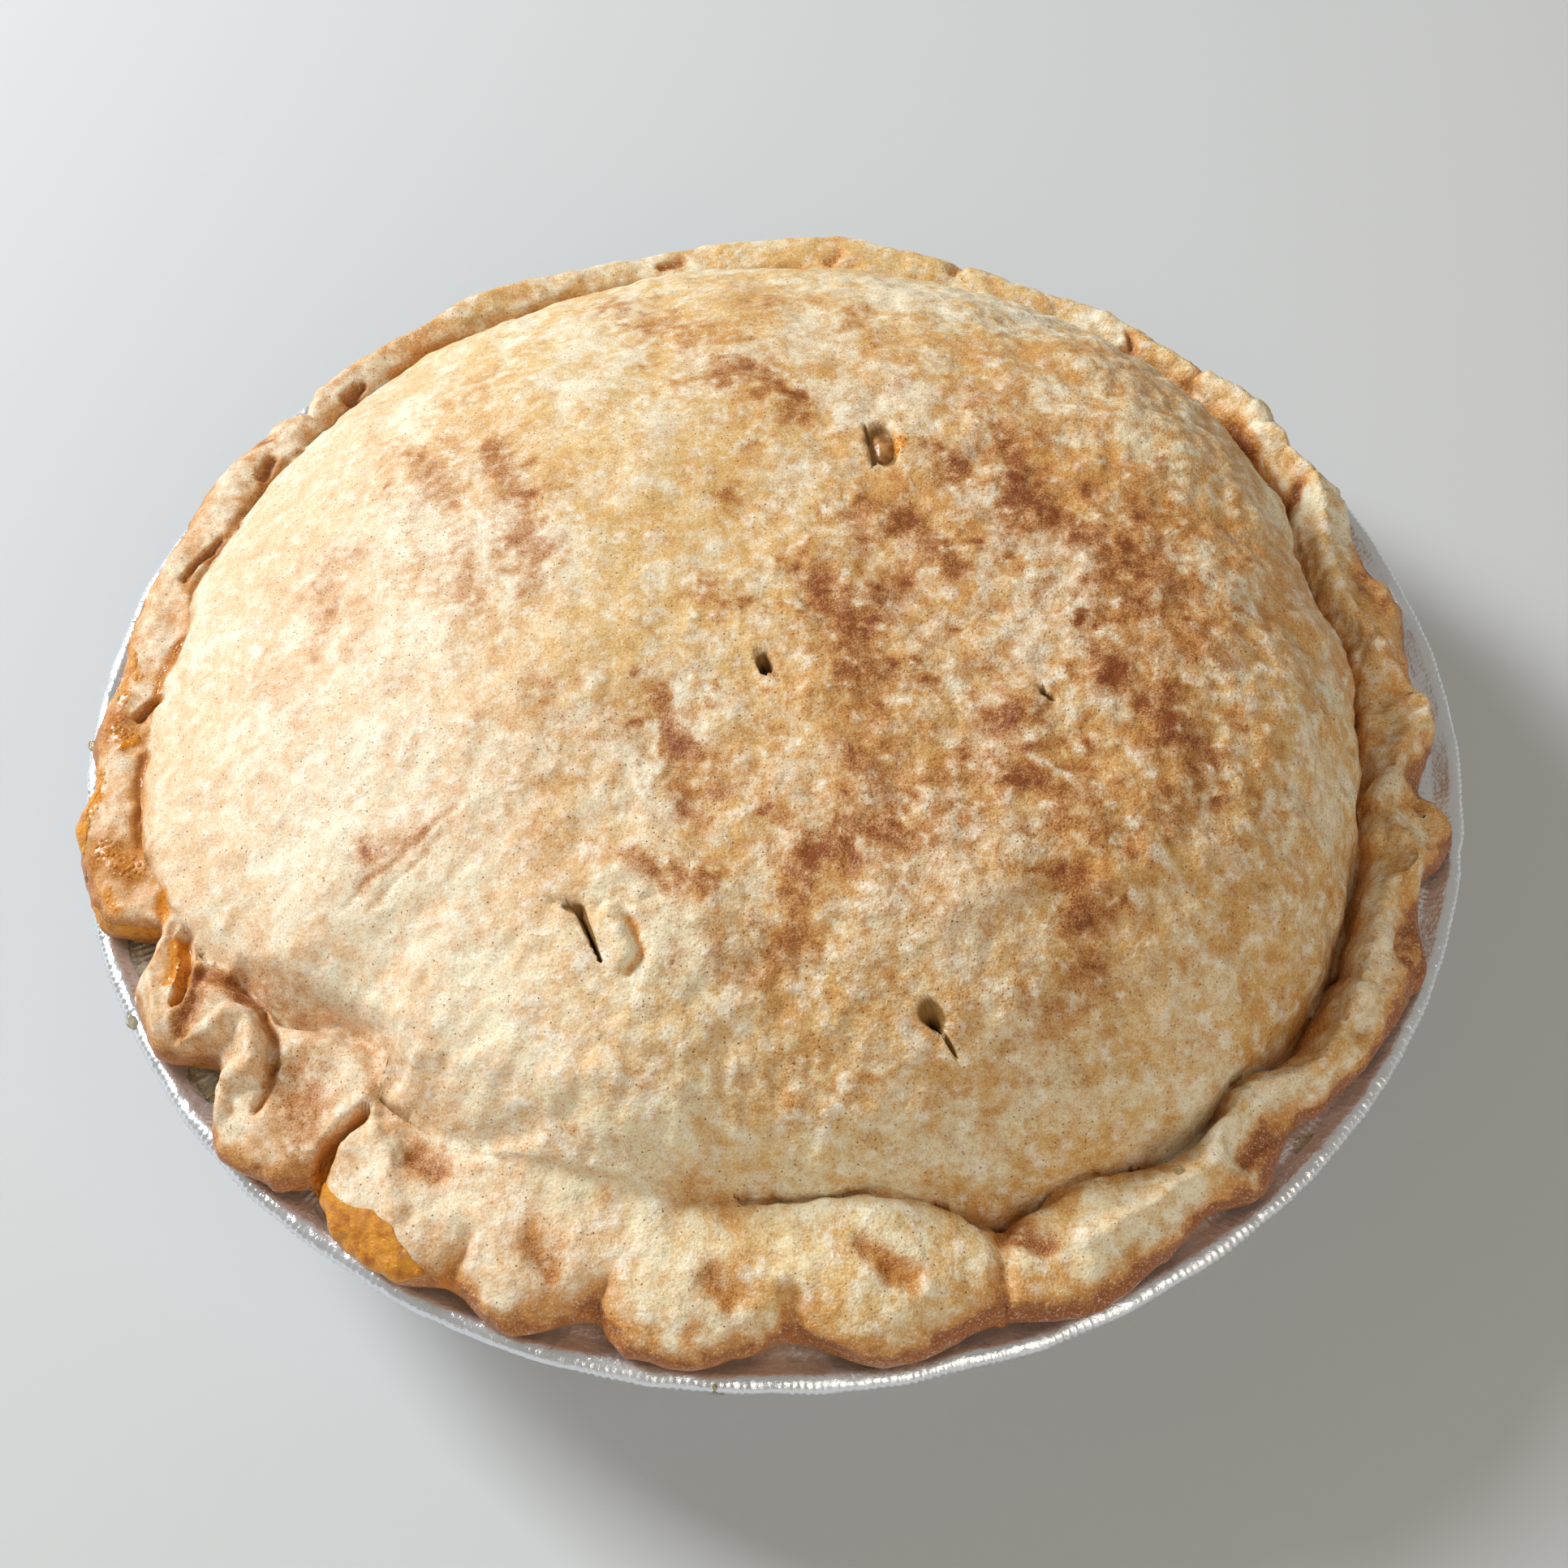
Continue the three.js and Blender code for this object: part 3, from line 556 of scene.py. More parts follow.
def underside(radius):
    """Height of the rim's underside: on the tin's ledge, lifting over the rolled edge."""
    inside = TIN_RADIUS - 2 * CURL_RADIUS
    return mix(FLANGE_TOP + GAP, TIN_HEIGHT + GAP, ease(inside - 4, inside - 1, radius))


def bare_crust(angle, share):
    """The crust before it is folded and roughened. The share runs down its section: 0 to 1 over
    the lid to the crease, 1 to 2 up a quarter ellipse to the rim's crest, 2 to 3 down another to
    the rim's edge, 3 to 4 round under the edge, and 4 to 5 back to the tin's wall."""
    crease = around(CREASE_RADIUS, angle)
    reach = around(RIM_REACH, angle)
    crest_radius = mix(crease, reach, around(CREST_PLACE, angle))
    crest_height = around(CREST_HEIGHT, angle)
    x, y, _ = round_points(np.clip(share, 0, 1) * crease, angle, 0 * angle).T
    x, y = gather(x, y)
    lid_angle, lid_radius = np.degrees(np.arctan2(y, x)), np.hypot(x, y)
    turn = np.radians(90) * np.mod(share, 1)
    tuck, wall = reach - EDGE_ROUND, WALL_TOP_RADIUS - FOIL - GAP - 0.2
    crease_height = lid_height(angle, crease)
    radius, height = lid_radius, lid_height(lid_angle, lid_radius)
    sections = [
        (1, mix(crest_radius, crease, np.cos(turn)), mix(crease_height, crest_height, np.sin(turn))),
        (2, mix(crest_radius, reach, np.sin(turn)), mix(LOWEST_EDGE, crest_height, np.cos(turn))),
        (3, mix(tuck, reach, np.cos(turn)), mix(LOWEST_EDGE, underside(tuck), np.sin(turn))),
    ]
    for start, part_radius, part_height in sections:
        radius = np.where(share >= start, part_radius, radius)
        height = np.where(share >= start, part_height, height)
    back = mix(tuck, wall, np.clip(share - 4, 0, 1))
    radius = np.where(share >= 4, back, radius)
    height = np.where(share >= 4, underside(back), height)
    return round_points(radius, np.where(share < 1, lid_angle, angle), height)


def line_distance(points, corners):
    """Distance in plan from a bent line through its corners, and the share of the line's pieces
    passed at the nearest place."""
    corners = np.array(corners, float)
    nearest, passed = np.full(len(points), np.inf), np.zeros(len(points))
    for i, (start, end) in enumerate(zip(corners, corners[1:])):
        way = end - start
        t = np.clip((points[:, :2] - start) @ way / (way @ way), 0, 1)
        away = np.linalg.norm(points[:, :2] - start - t[:, None] * way, axis=1)
        passed = np.where(away < nearest, (i + t) / (len(corners) - 1), passed)
        nearest = np.minimum(nearest, away)
    return nearest, passed


def fold_distance(points, places):
    """Distance in plan from a bent line of (angle, radius) places."""
    angle, radius = np.array(places, float).T
    return line_distance(points, round_points(radius, angle, 0 * angle)[:, :2])[0]


def cut_share(points, cut):
    """How far out of a cut a point lies: 0 on its line, 1 at its edge."""
    away, passed = line_distance(points, cut[0])
    return away / mix(cut[1], cut[2], passed)


def unsteady(points):
    """The points moved by up to about a millimetre of noise, so that what is measured from them has
    no straight edge."""
    return points + np.stack([0.9 * grain(points, 5, seed) for seed in (51, 52, 53)], axis=1)


def folded_crust(angle, share):
    """The bare crust with its folds, dents, slots and vents. A fold raises or lowers the surface by
    (1 - (distance / width)^2)^2 of its height, and a slot has steeper walls. A vent's cuts drop
    the surface, inside slightly raised lips."""
    points = bare_crust(angle, share)
    upper = 1 - ease(2.7, 3.3, share)
    wobbly = unsteady(points)
    for places, width, height, *_ in FOLDS:
        fold = np.clip(1 - (fold_distance(wobbly, places) / width) ** 2, 0, 1) ** 2
        points[:, 2] += height * fold * upper
    for places, width, depth, *_ in SLOTS:
        points[:, 2] -= depth * (1 - ease(0.15, 1, fold_distance(wobbly, places) / width)) * upper
    for cut in CUTS:
        depth, flat = cut[3:]
        out = cut_share(points, cut)
        lip = 0.25 * flat * np.exp(-(((out - 1.5) / 0.4) ** 2))
        points[:, 2] += lip - depth * (1 - ease(flat, 1, out))
    return points


def coarseness(points):
    """How rough the crust is: 0 at the left to 1 at the right and at the front, in a smooth ramp."""
    return ease(-60, 55, points[:, 0] - 0.45 * points[:, 1])


def fine_lumps(points):
    """Noise of lumps 3.4 and 1.9 mm wide, the narrower ones half as high."""
    return grain(points, 3.4, 24) + 0.5 * grain(points, 1.9, 25)


def roughness_of(points, angle, share):
    """Relief of the baked surface in millimetres, from noise: swellings, lumps and flakes on the
    lid, higher where it is coarse, and stretch marks down its steep sides; wrinkles on the rim,
    and at its right also higher ones with narrow pinched creases. It is weak inside the vents."""
    lid = 1 - ease(0.93, 1.1, share)
    rim = (1 - lid) * (1 - ease(3, 3.6, share))
    steep = ease(0.72, 0.9, share) * lid
    flakes = 1 - 2 * np.abs(grain(points, 5.5, 23))
    coarse = coarseness(points)
    lumps = mix(0.5, 1.05, coarse) * grain(points, 9, 22) + mix(0.12, 0.44, coarse) * fine_lumps(points)
    relief = lid * (0.9 * grain(points, 24, 21) + lumps + 0.24 * flakes)
    relief += rim * (0.5 * grain(points, 11, 31) + 0.42 * grain(points, 5, 32) + 0.3 * grain(points, 2.4, 33))
    right = ease(0.2, 0.9, np.cos(np.radians(angle - 5)))
    pinches = np.clip(1 - np.abs(grain(points, 8, 35)) / 0.16, 0, 1)
    relief += rim * right * (0.75 * grain(points, 6.5, 34) - 0.8 * pinches * ease(1.1, 1.4, share))
    bands = np.stack([np.radians(angle) * 60, share * 12, 0 * share], axis=1)
    relief += steep * 0.25 * grain(bands, 2.2, 26)
    for cut in CUTS:
        relief *= mix(0.3, 1, ease(0.9, 1.5, cut_share(points, cut)))
    return relief


def crust_at(angle, share, lift=0):
    """Points of the finished crust: the folded crust pushed out along its normal by its relief and
    by a lift. The normal is the cross product of small steps down the section and round it."""
    here = folded_crust(angle, share)
    down = folded_crust(angle, share + 0.01) - here
    round_step = folded_crust(angle + 0.06, share) - here
    normal = np.cross(down, round_step)
    normal /= np.linalg.norm(normal, axis=1, keepdims=True) + 1e-9
    return here + normal * (roughness_of(here, angle, share) + lift)[:, None]


def column_angles(count):
    """Angles of a ring's points, crowding by three tenths towards the tightly folded side."""
    even = np.arange(count) * 360 / count
    return even - np.degrees(0.3 * np.sin(np.radians(even - FOLDED_SIDE)))


def crust_rings():
    """The angle and share of every point, ring by ring from the lid's middle to the tin's wall. The
    rings are closest on the rim's outside, and have more points further out."""
    parts = [(0, 1, 110), (1, 2, 12), (2, 3, 20), (3, 4, 4), (4, 5, 2)]
    shares = np.concatenate([np.linspace(start, end, count + 1)[1:] for start, end, count in parts])
    counts = [int(INNER_COUNT * 2 ** np.searchsorted(DOUBLINGS, share)) for share in shares]
    angle = np.concatenate([column_angles(count) for count in counts])
    return angle, np.repeat(shares, counts), counts


def crust_points(angle, share):
    """The crust's points, and its hidden side and bottom inside the tin in ever coarser rings."""
    top = crust_at(np.array([0.0]), np.array([0.001]))
    hidden = [
        round_points(radius, column_angles(count), np.full(count, height))
        for radius, height, count in HIDDEN_RINGS
    ]
    return np.concatenate([top, crust_at(angle, share), *hidden, [[0, 0, BOTTOM]]])


def crust_marks(points, share):
    """What the crust's material needs at each point: browned tone with painted shade, cinnamon dust,
    soaked-in juice, how deep in a vent it is, floury tone with painted highlight, coarseness, and how rosy or
    buttery the dough is. The rim is browned at its foot, its outside and its low edge, partly as painted
    shade, with painted shade in the hollows of its wrinkles and painted highlight on their crests. The lid's
    coarse lumps get painted highlight on their crests and painted shade in their hollows. Folds, broad tones
    and strokes of cinnamon add bells to this, the strokes with ragged edges."""
    x, y, z = points.T
    upper = 1 - ease(3, 3.4, share)
    rim = ease(0.99, 1.12, share) * upper
    turn = np.arctan2(y, x)
    # Painted shade in the hollows of the rim's wrinkles and painted highlight on their crests, mirroring the
    # noise of the rim's relief.
    wrinkle_shade = np.clip(-0.7 * grain(points, 5, 32) - 0.5 * grain(points, 2.4, 33), -0.5, 0.8)
    # The rim is browned most at its foot in the crease, on its outer face and at its low edge: partly real
    # baked colour, partly painted shade.
    foot, flank = ease(1.7, 1.15, share), ease(2.1, 2.7, share)
    rim_bake_and_shade = around(RIM_BROWNING, np.degrees(turn)) * (0.6 + 0.45 * foot + 0.7 * flank)
    bake_and_shade = rim * (rim_bake_and_shade + 0.24 * wrinkle_shade) + 1.15 * ease(46.5, 41, z) * ease(1.9, 2.3, share)
    dust = 0.19 + rim * (0.16 * ease(0, -0.8, np.cos(turn)) - 0.1 * ease(0, -0.9, np.sin(turn)))
    juicy = ease(0.1, 0.9, np.cos(turn - np.radians(JUICY_SIDE)))
    juice = 0.4 * juicy * ease(45, 41, z) * ease(2, 2.4, share)
    wobbly = unsteady(points)
    for places, width, _, browned, dusted, soaked in FOLDS + SLOTS:
        near = np.exp(-((fold_distance(wobbly, places) / (0.75 * width)) ** 2)) * upper
        bake_and_shade, dust, juice = bake_and_shade + browned * near, dust + dusted * near, juice + soaked * near
    ragged = 1.5 * grain(points, 5.5, 41) + 1.1 * grain(points, 2.2, 42)
    for places, spread, strength in STROKES:
        away = line_distance(points, places)[0] / spread
        away = np.clip(away * (1 + 0.5 * np.clip(ragged, -1.4, 3)), 0, 9)
        dust += strength * (share < 1) * (0.6 * np.exp(-(away**2)) + 0.14 * np.exp(-((away / 2.1) ** 2)))
    flour_and_highlight, inside, butter = 0.25 + 0 * x, 0 * x, 0 * x
    for at_x, at_y, spread, dusted, browned, floured in BROAD_TONES:
        near = bell(x, y, at_x, at_y, spread) * upper
        dust, bake_and_shade, flour_and_highlight = dust + dusted * near, bake_and_shade + browned * near * (1 - rim), flour_and_highlight + floured * near
    for at_x, at_y, spread, strength in BUTTERY:
        butter += strength * bell(x, y, at_x, at_y, spread)
    for cut in CUTS:
        inside = np.maximum(inside, cut[3] / 4 * (1 - ease(0.3, 0.95, cut_share(points, cut))))
    coarse = mix(0.25, 0.95, coarseness(points))
    # Painted light on the coarse lumps: their crests are painted lighter, added to the floury tone, and their
    # hollows browner, added to the browned tone.
    high = 1.4 * (coarse - 0.25) * np.clip(fine_lumps(points), -1, 1) * upper
    return {
        "bake_and_shade": bake_and_shade - 0.16 * high,
        "dust": dust,
        "juice": juice,
        "inside": inside,
        "flour_and_highlight": flour_and_highlight + 1.7 * high,
        "coarse": coarse,
        "rosy": ease(-20, -75, x + 0.3 * y),
        "butter": np.clip(butter, 0, 1),
    }


def crust_material():
    """Baked shortcrust: cream dough with butter-yellow and golden patches, browned folds, white floury
    islands, cinnamon dust where it was shaken on, fine grit and dark specks all over, amber juice where it
    soaked in, and vents painted dark as shade. The brown also paints shade in the rim's crease, hollows,
    outer face and low edge, and the floury islands paint highlight on the crests of coarse lumps. The bump
    has the same islands, and froth in the juice."""
    material, tree, shader, place = new_material("pastry")

    def mark(name):
        """A mark that the crust's points carry."""
        return add_node(tree, "ShaderNodeAttribute", attribute_name=name).outputs["Fac"]

    def plus(first, second):
        """The sum of two values."""
        return sums(tree, "ADD", first, second)

    def times(first, second):
        """The product of two values."""
        return sums(tree, "MULTIPLY", first, second)

    def swing(value, size):
        """How far a noise is from its middle, times a size."""
        return times(sums(tree, "SUBTRACT", value, 0.5), size)

    bake_and_shade, dust, juice, inside = mark("bake_and_shade"), mark("dust"), mark("juice"), mark("inside")
    flour_and_highlight, coarse, rosy, butter = mark("flour_and_highlight"), mark("coarse"), mark("rosy"), mark("butter")
    broad, medium = speckle(tree, place, 42, 4), speckle(tree, place, 150, 4, 0.6)
    small, fine = speckle(tree, place, 480, 3), speckle(tree, place, 1900, 2)
    powder = speckle(tree, place, 3400, 3, 0.7)
    turned = {"Vector": place, "Rotation": (0, 0, np.radians(-25)), "Scale": (1, 0.6, 1)}
    streaks = speckle(tree, add_node(tree, "ShaderNodeMapping", turned).outputs[0], 270, 4, 0.62)

    uneven = plus(swing(broad, 1.0), plus(swing(medium, 1.2), swing(small, 0.5)))
    dough = tint(tree, rosy, tone("DEBA78"), tone("E8C8A0"))
    pale_dough = tint(tree, butter, tone("F0E9D0"), tone("EEE0B4"))
    color = tint(tree, ramp(tree, uneven, -0.26, 0.14), pale_dough, dough)
    # Golden and deep brown where browned; on the rim's crease, outer face, low edge and wrinkle hollows, and
    # in the lid lumps' hollows, this brown is partly painted shade.
    toast = plus(bake_and_shade, plus(uneven, swing(streaks, 0.5)))
    color = tint(tree, ramp(tree, toast, 0.04, 0.75, 0.0, 0.9), color, tone("CB8C3E"))
    deep = plus(bake_and_shade, swing(small, 1.4))
    color = tint(tree, ramp(tree, deep, 0.6, 1.25, 0.0, 0.9), color, tone("884214"))
    # White floury islands; on the crests of the coarse lumps they carry painted highlight.
    flakes = plus(swing(speckle(tree, place, 340, 4, 0.62), 1.2), swing(medium, 0.5))
    floured = plus(times(flour_and_highlight, 0.12), flakes)
    islands = times(ramp(tree, floured, 0.0, 0.4), ramp(tree, bake_and_shade, 0.6, 0.1))
    color = tint(tree, times(islands, 0.72), color, tone("F5F3E6"))
    patchy = plus(swing(streaks, 1.8), plus(swing(small, 1.5), 1.0))
    patchy = sums(tree, "SUBTRACT", patchy, times(islands, 0.5))
    cover = times(dust, sums(tree, "MAXIMUM", patchy, 0.1))
    color = tint(tree, ramp(tree, cover, -0.05, 1.0, 0.0, 0.88), color, tone("C18444"))
    grains = plus(times(cover, 1.35), swing(powder, 4.4))
    color = tint(tree, ramp(tree, grains, 0.5, 2.3, 0.0, 0.92), color, tone("7A3406"))
    cells = add_node(tree, "ShaderNodeTexVoronoi", {"Vector": place, "Scale": 1050.0})
    near = ramp(tree, cells.outputs["Distance"], 0.2, 0.12)
    lot = add_node(tree, "ShaderNodeSeparateColor", {0: cells.outputs["Color"]}).outputs[0]
    kept = ramp(tree, plus(lot, times(cover, 0.4)), 0.72, 0.86)
    color = tint(tree, times(near, times(kept, 0.85)), color, tone("5E361A"))
    grit = plus(swing(powder, 1.6), swing(fine, 0.9))
    color = tint(tree, ramp(tree, grit, 0.0, 0.5, 0.0, 0.62), color, tone("A5682E"))
    pale_grit = times(ramp(tree, grit, 0.0, -0.45, 0.0, 0.52), ramp(tree, cover, 0.7, 0.15, 0.2, 1.0))
    color = tint(tree, pale_grit, color, tone("FFF7E8"))
    color = tint(tree, ramp(tree, juice, 0.1, 0.9, 0.0, 0.88), color, tone("D8871A"))
    # Painted shade in the vents: their walls turn tan and their depths near black.
    color = tint(tree, ramp(tree, inside, 0.02, 0.22), color, tone("96703E"))
    color = tint(tree, ramp(tree, inside, 0.5, 1.0), color, tone("38220F"))
    tree.links.new(color, shader.inputs["Base Color"])

    wetness = plus(sums(tree, "MAXIMUM", juice, inside), times(bake_and_shade, 0.3))
    gloss = ramp(tree, wetness, 0.0, 1.0, 0.56, 0.16)
    tree.links.new(gloss, shader.inputs["Roughness"])
    shader.inputs["Specular IOR Level"].default_value = 0.28
    shader.inputs["Subsurface Weight"].default_value = 0.12
    shader.inputs["Subsurface Radius"].default_value = (1.0, 0.55, 0.25)
    shader.inputs["Subsurface Scale"].default_value = 0.0025
    bubbles = ramp(tree, cells.outputs["Distance"], 0.55, 0.05)
    wet = times(ramp(tree, juice, 0.2, 0.5), ramp(tree, dust, 0.2, 0.45))
    froth = times(bubbles, times(wet, 0.6))
    relief = times(plus(small, times(fine, 0.22)), coarse)
    relief = plus(relief, plus(froth, times(islands, 0.16)))
    relief = times(relief, ramp(tree, inside, 0.05, 0.4, 1.0, 0.1))
    bump = add_node(tree, "ShaderNodeBump", {"Strength": 0.75, "Distance": 0.0009, "Height": relief})
    tree.links.new(bump.outputs[0], shader.inputs["Normal"])
    return material


crust_angle, crust_share, crust_counts = crust_rings()
crust_mesh_points = crust_points(crust_angle, crust_share)
crust_faces = knit([1, *crust_counts, *(count for _, _, count in HIDDEN_RINGS), 1])
crust = make_piece("crust", crust_mesh_points, crust_faces, crust_material(), "pastry")
all_shares = np.concatenate([[0], crust_share, np.full(len(crust_mesh_points) - len(crust_share) - 1, 5)])
for mark_name, values in crust_marks(crust_mesh_points, all_shares).items():
    attribute = crust.data.attributes.new(mark_name, "FLOAT", "POINT")
    attribute.data.foreach_set("value", values.astype(np.float32))
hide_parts("pie")


# ---------- syrup glaze ----------
# Apple syrup that boiled out between the crimps, ran over them and set. It sticks to the crust as an
# amber glaze, thick on the third crimp and thin along the left edge.

# Glazes: rows of (angle, upper share, lower share) on the crust, and the thickness.
GLAZES = [
    ([(231.4, 2.8, 2.84), (232.4, 2.62, 3.0), (234.3, 2.48, 3.06), (237.7, 2.36, 3.1), (239.8, 2.38, 2.98),
      (241.6, 2.5, 2.88), (243.2, 2.7, 2.74)], 0.7),
    ([(186, 2.6, 2.64), (188, 2.44, 2.84), (190.5, 2.32, 2.9), (192.5, 2.26, 2.9), (194, 2.4, 2.82),
      (195, 2.6, 2.64)], 0.36),
    ([(198.6, 2.9, 2.94), (200, 2.72, 3.14), (202, 2.66, 3.1), (203.8, 2.6, 3.06), (205, 2.8, 2.84)], 0.36),
    ([(174.4, 2.5, 2.54), (175.6, 2.3, 2.66), (177.2, 2.24, 2.7), (179, 2.34, 2.6), (180.2, 2.44, 2.48)],
     0.3),
]
GLAZE_STATIONS = 90
GLAZE_COLUMNS = 44


def outwards(points, faces):
    """The faces of a closed mesh, turned over if its signed volume is negative."""
    a, b, c = (points[faces[:, i]] for i in range(3))
    return faces if np.einsum("ij,ij->", a, np.cross(b, c)) > 0 else faces[:, ::-1]


def joined(parts):
    """One mesh from several pairs of points and faces."""
    starts = np.cumsum([0] + [len(points) for points, _ in parts])
    faces = [part_faces + first for (_, part_faces), first in zip(parts, starts)]
    return np.concatenate([points for points, _ in parts]), np.concatenate(faces)


def glaze(rows, thickness):
    """A closed film on the crust: across it the lift is the thickness times sin^0.6 of the way round
    its section, uneven by noise, and its underside dips to half a millimetre inside the crust."""
    way = np.linspace(0, len(rows) - 1, GLAZE_STATIONS + 2)[1:-1]
    columns = [np.interp(way, range(len(rows)), column) for column in np.array(rows, float).T]
    angle, upper, lower = (np.repeat(column, GLAZE_COLUMNS) for column in columns)
    turn = np.tile(np.arange(GLAZE_COLUMNS) / GLAZE_COLUMNS * 2 * np.pi, GLAZE_STATIONS)
    ragged = grain(round_points(120, angle, 10 * np.cos(turn)), 4, 61)
    share = mix(upper, lower, 0.5 - 0.5 * np.cos(turn) * (1 + 0.22 * ragged))
    places = folded_crust(angle, share)
    lumps = 0.8 + 0.5 * grain(places, 2.6, 62) + 0.3 * grain(places, 1.1, 63)
    rise = np.sin(turn)
    lift = np.where(rise > 0, thickness * lumps * np.maximum(rise, 0) ** 0.6, 0.4 * rise) - 0.1
    tips = np.array([rows[0], rows[-1]], float)
    ends = crust_at(tips[:, 0], tips[:, 1], -0.1)
    points = np.concatenate([ends[:1], crust_at(angle, share, lift), ends[1:]])
    return points, outwards(points, knit([1] + [GLAZE_COLUMNS] * GLAZE_STATIONS + [1]))


def syrup_material(name, color, deep_color, clear, rough):
    """Set apple syrup: glossy amber, darker and lighter in places and with tiny bubbles under its
    skin, more or less clear."""
    material, tree, shader, place = new_material(name)
    thick = speckle(tree, place, 500, 3)
    shade = tint(tree, ramp(tree, thick, 0.4, 0.75), tone(color), tone(deep_color))
    tree.links.new(shade, shader.inputs["Base Color"])
    shader.inputs["Transmission Weight"].default_value = clear
    shader.inputs["Roughness"].default_value = rough
    shader.inputs["IOR"].default_value = 1.45
    shader.inputs["Subsurface Weight"].default_value = 0.3 * (1 - clear)
    shader.inputs["Subsurface Scale"].default_value = 0.002
    bubbles = speckle(tree, place, 1100, 3, 0.7)
    bump = add_node(tree, "ShaderNodeBump", {"Strength": 0.8, "Distance": 0.001, "Height": bubbles})
    tree.links.new(bump.outputs[0], shader.inputs["Normal"])
    return material


amber = syrup_material("syrup", "E69A1E", "BE6C10", 0.0, 0.07)
make_piece("syrup_glaze", *joined([glaze(*rows) for rows in GLAZES]), amber, "syrup")


# ---------- syrup pools ----------
# Clear juice that ran down and set in pools and drops on the tin's ledge and rolled edge, and in small
# beads on the crimps and at the right edge of the back vent.

# Pools and beads: angle, radius, height, half length round the pie, half width, half height.
POOLS = [
    (203.8, 117.6, 36.6, 5, 2.8, 0.35), (217, 117.4, 36.6, 4, 2.4, 0.35), (316, 118, 36.6, 2.4, 1.6, 0.3),
    (209.3, 122.5, 37.2, 1.7, 1.2, 0.9), (265.8, 122, 35.6, 1.8, 0.7, 2), (191.6, 122.6, 39.8, 1.7, 1.4, 0.9),
    (58.4, 40.6, 76.6, 1.1, 2.6, 0.7), (304.1, 110.6, 48.4, 0.8, 0.8, 0.9), (212.4, 117, 46.4, 0.5, 0.5, 0.5),
    (213.2, 116.2, 46.6, 0.4, 0.4, 0.4), (212.9, 117.8, 46, 0.35, 0.35, 0.35),
    (183.6, 121.4, 42.4, 1, 0.8, 0.8),
    (196.6, 122.2, 42.2, 1, 0.9, 0.9),
]
BEAD_RINGS = 14
BEAD_COLUMNS = 24


def bead(angle, radius, height, along, across, up):
    """A closed lump with half axes round the pie, outwards and up, uneven by a fifth."""
    rises = np.linspace(0, np.pi, BEAD_RINGS + 2)[1:-1]
    rise, turn = np.meshgrid(rises, np.arange(BEAD_COLUMNS) / BEAD_COLUMNS * 2 * np.pi, indexing="ij")
    ball = np.stack([np.sin(rise) * np.cos(turn), np.sin(rise) * np.sin(turn), np.cos(rise)], axis=-1)
    ball = np.concatenate([[[0, 0, 1]], ball.reshape(-1, 3), [[0, 0, -1]]])
    ball *= 1 + 0.2 * grain(ball + [angle, radius, 0], 1.1, 64)[:, None]
    c, s = np.cos(np.radians(angle)), np.sin(np.radians(angle))
    points = ball @ [[-s * along, c * along, 0], [c * across, s * across, 0], [0, 0, up]]
    faces = outwards(points, knit([1] + [BEAD_COLUMNS] * BEAD_RINGS + [1]))
    return round_points(radius, angle, height) + points, faces


clear_juice = syrup_material("juice", "FAF0D2", "F0D89C", 0.95, 0.03)
make_piece("syrup_pools", *joined([bead(*pool) for pool in POOLS]), clear_juice, "syrup")


# ---------- apple slice ----------
# The end of a cooked apple slice that fills the right half of the back vent. It is wet with juice,
# and lies on the filling, held by the crust round it.

SLICE_ANGLE = 59.8
SLICE_RADIUS = 36.6
SLICE_HEIGHT = 75.9
SLICE_HALF_SIZE = [2.1, 3.5, 1.9]
SLICE_LEAN = 9


def apple_slice():
    """A bead drawn out along x, y and z, and turned in plan by the lean."""
    points, faces = bead(SLICE_ANGLE, SLICE_RADIUS, SLICE_HEIGHT, 1, 1, 1)
    middle = round_points(SLICE_RADIUS, SLICE_ANGLE, SLICE_HEIGHT)
    c, s = np.cos(np.radians(SLICE_LEAN)), np.sin(np.radians(SLICE_LEAN))
    turned = (points - middle) * SLICE_HALF_SIZE @ [[c, s, 0], [-s, c, 0], [0, 0, 1]]
    return middle + turned, faces


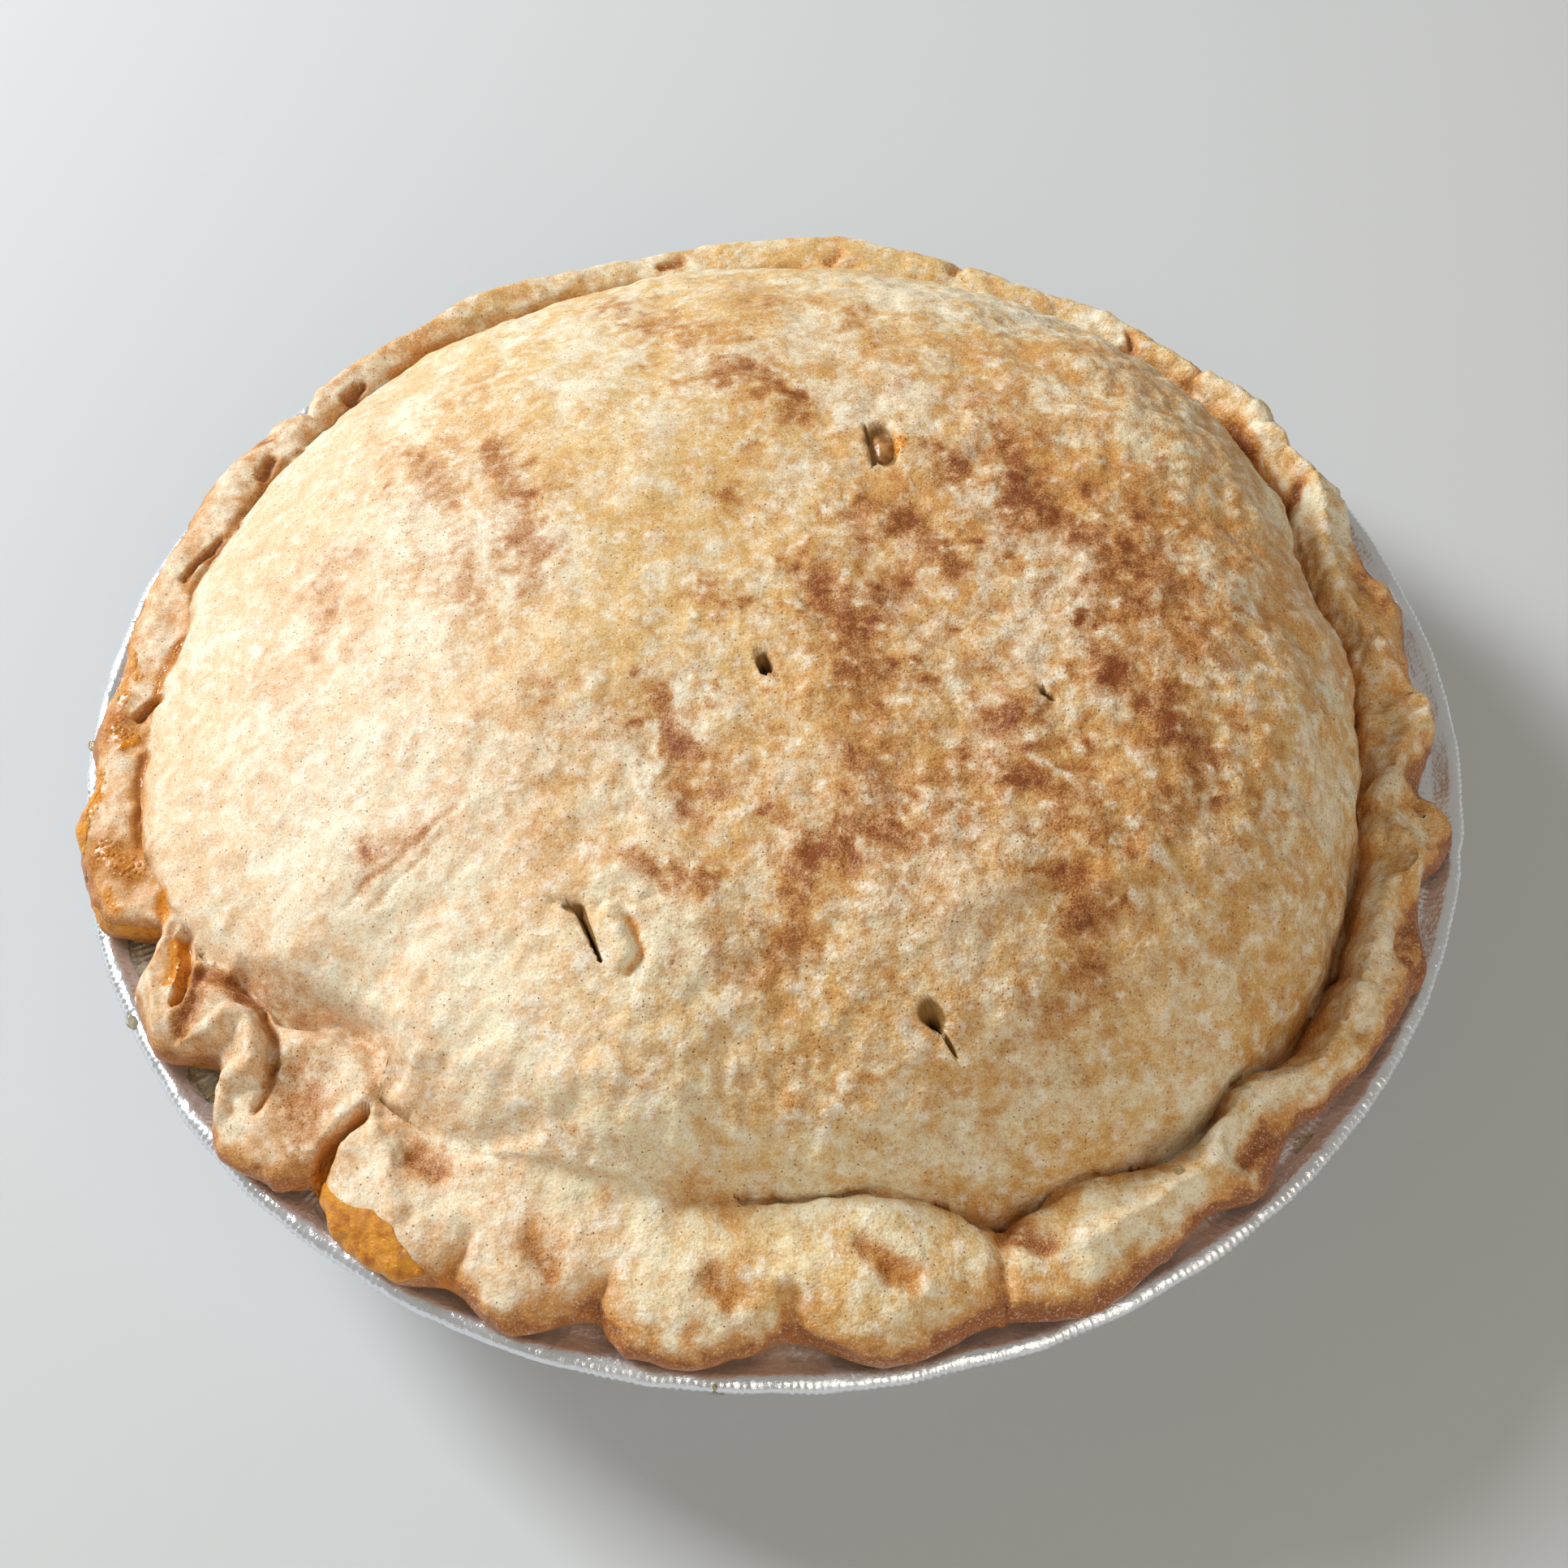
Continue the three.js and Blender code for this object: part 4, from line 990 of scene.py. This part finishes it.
def apple_material():
    """Cooked apple: tan flesh with darker veins, wet with juice."""
    material, tree, shader, place = new_material("apple")
    veins = speckle(tree, place, 420, 4, 0.6)
    shade = tint(tree, ramp(tree, veins, 0.35, 0.65), tone("CB9A60"), tone("8A5828"))
    tree.links.new(shade, shader.inputs["Base Color"])
    shader.inputs["Roughness"].default_value = 0.32
    shader.inputs["Subsurface Weight"].default_value = 0.2
    shader.inputs["Subsurface Scale"].default_value = 0.002
    bump = add_node(tree, "ShaderNodeBump", {"Strength": 0.4, "Distance": 0.0006, "Height": veins})
    tree.links.new(bump.outputs[0], shader.inputs["Normal"])
    return material


make_piece("apple_slice", *apple_slice(), apple_material(), "apple")


# ---------- floor and light ----------
# A plain pale floor, a soft lamp at the left and behind, and a weak, warm and larger one at the front
# right.

floor_mesh = bpy.data.meshes.new("floor")
floor_mesh.from_pydata([(-3, -3, 0), (3, -3, 0), (3, 3, 0), (-3, 3, 0)], [], [(0, 1, 2, 3)])
floor_material, _, floor_shader, _ = new_material("floor")
floor_shader.inputs["Base Color"].default_value = (0.58, 0.59, 0.605, 1)
floor_shader.inputs["Roughness"].default_value = 0.8
floor_mesh.materials.append(floor_material)
floor = bpy.data.objects.new("floor", floor_mesh)
bpy.context.scene.collection.objects.link(floor)

for name, place, size, power, color in (
    ("key", (-1.08, 0.62, 0.88), 0.45, 26.5, (0.935, 0.98, 1)),
    ("fill", (0.5, -0.95, 0.8), 1.2, 6.2, (1, 0.93, 0.8)),
):
    lamp = bpy.data.lights.new(name, "AREA")
    lamp.size = size
    lamp.energy = power
    lamp.color = color
    holder = bpy.data.objects.new(name, lamp)
    holder.location = place
    holder.rotation_euler = (Vector((0, 0, 0.05)) - Vector(place)).to_track_quat("-Z", "Y").to_euler()
    bpy.context.scene.collection.objects.link(holder)

world = bpy.data.worlds.new("studio")
world.use_nodes = True
world.node_tree.nodes["Background"].inputs["Color"].default_value = (1, 0.935, 0.83, 1)
world.node_tree.nodes["Background"].inputs["Strength"].default_value = 0.3
bpy.context.scene.world = world
bpy.context.scene.view_settings.view_transform = "Standard"
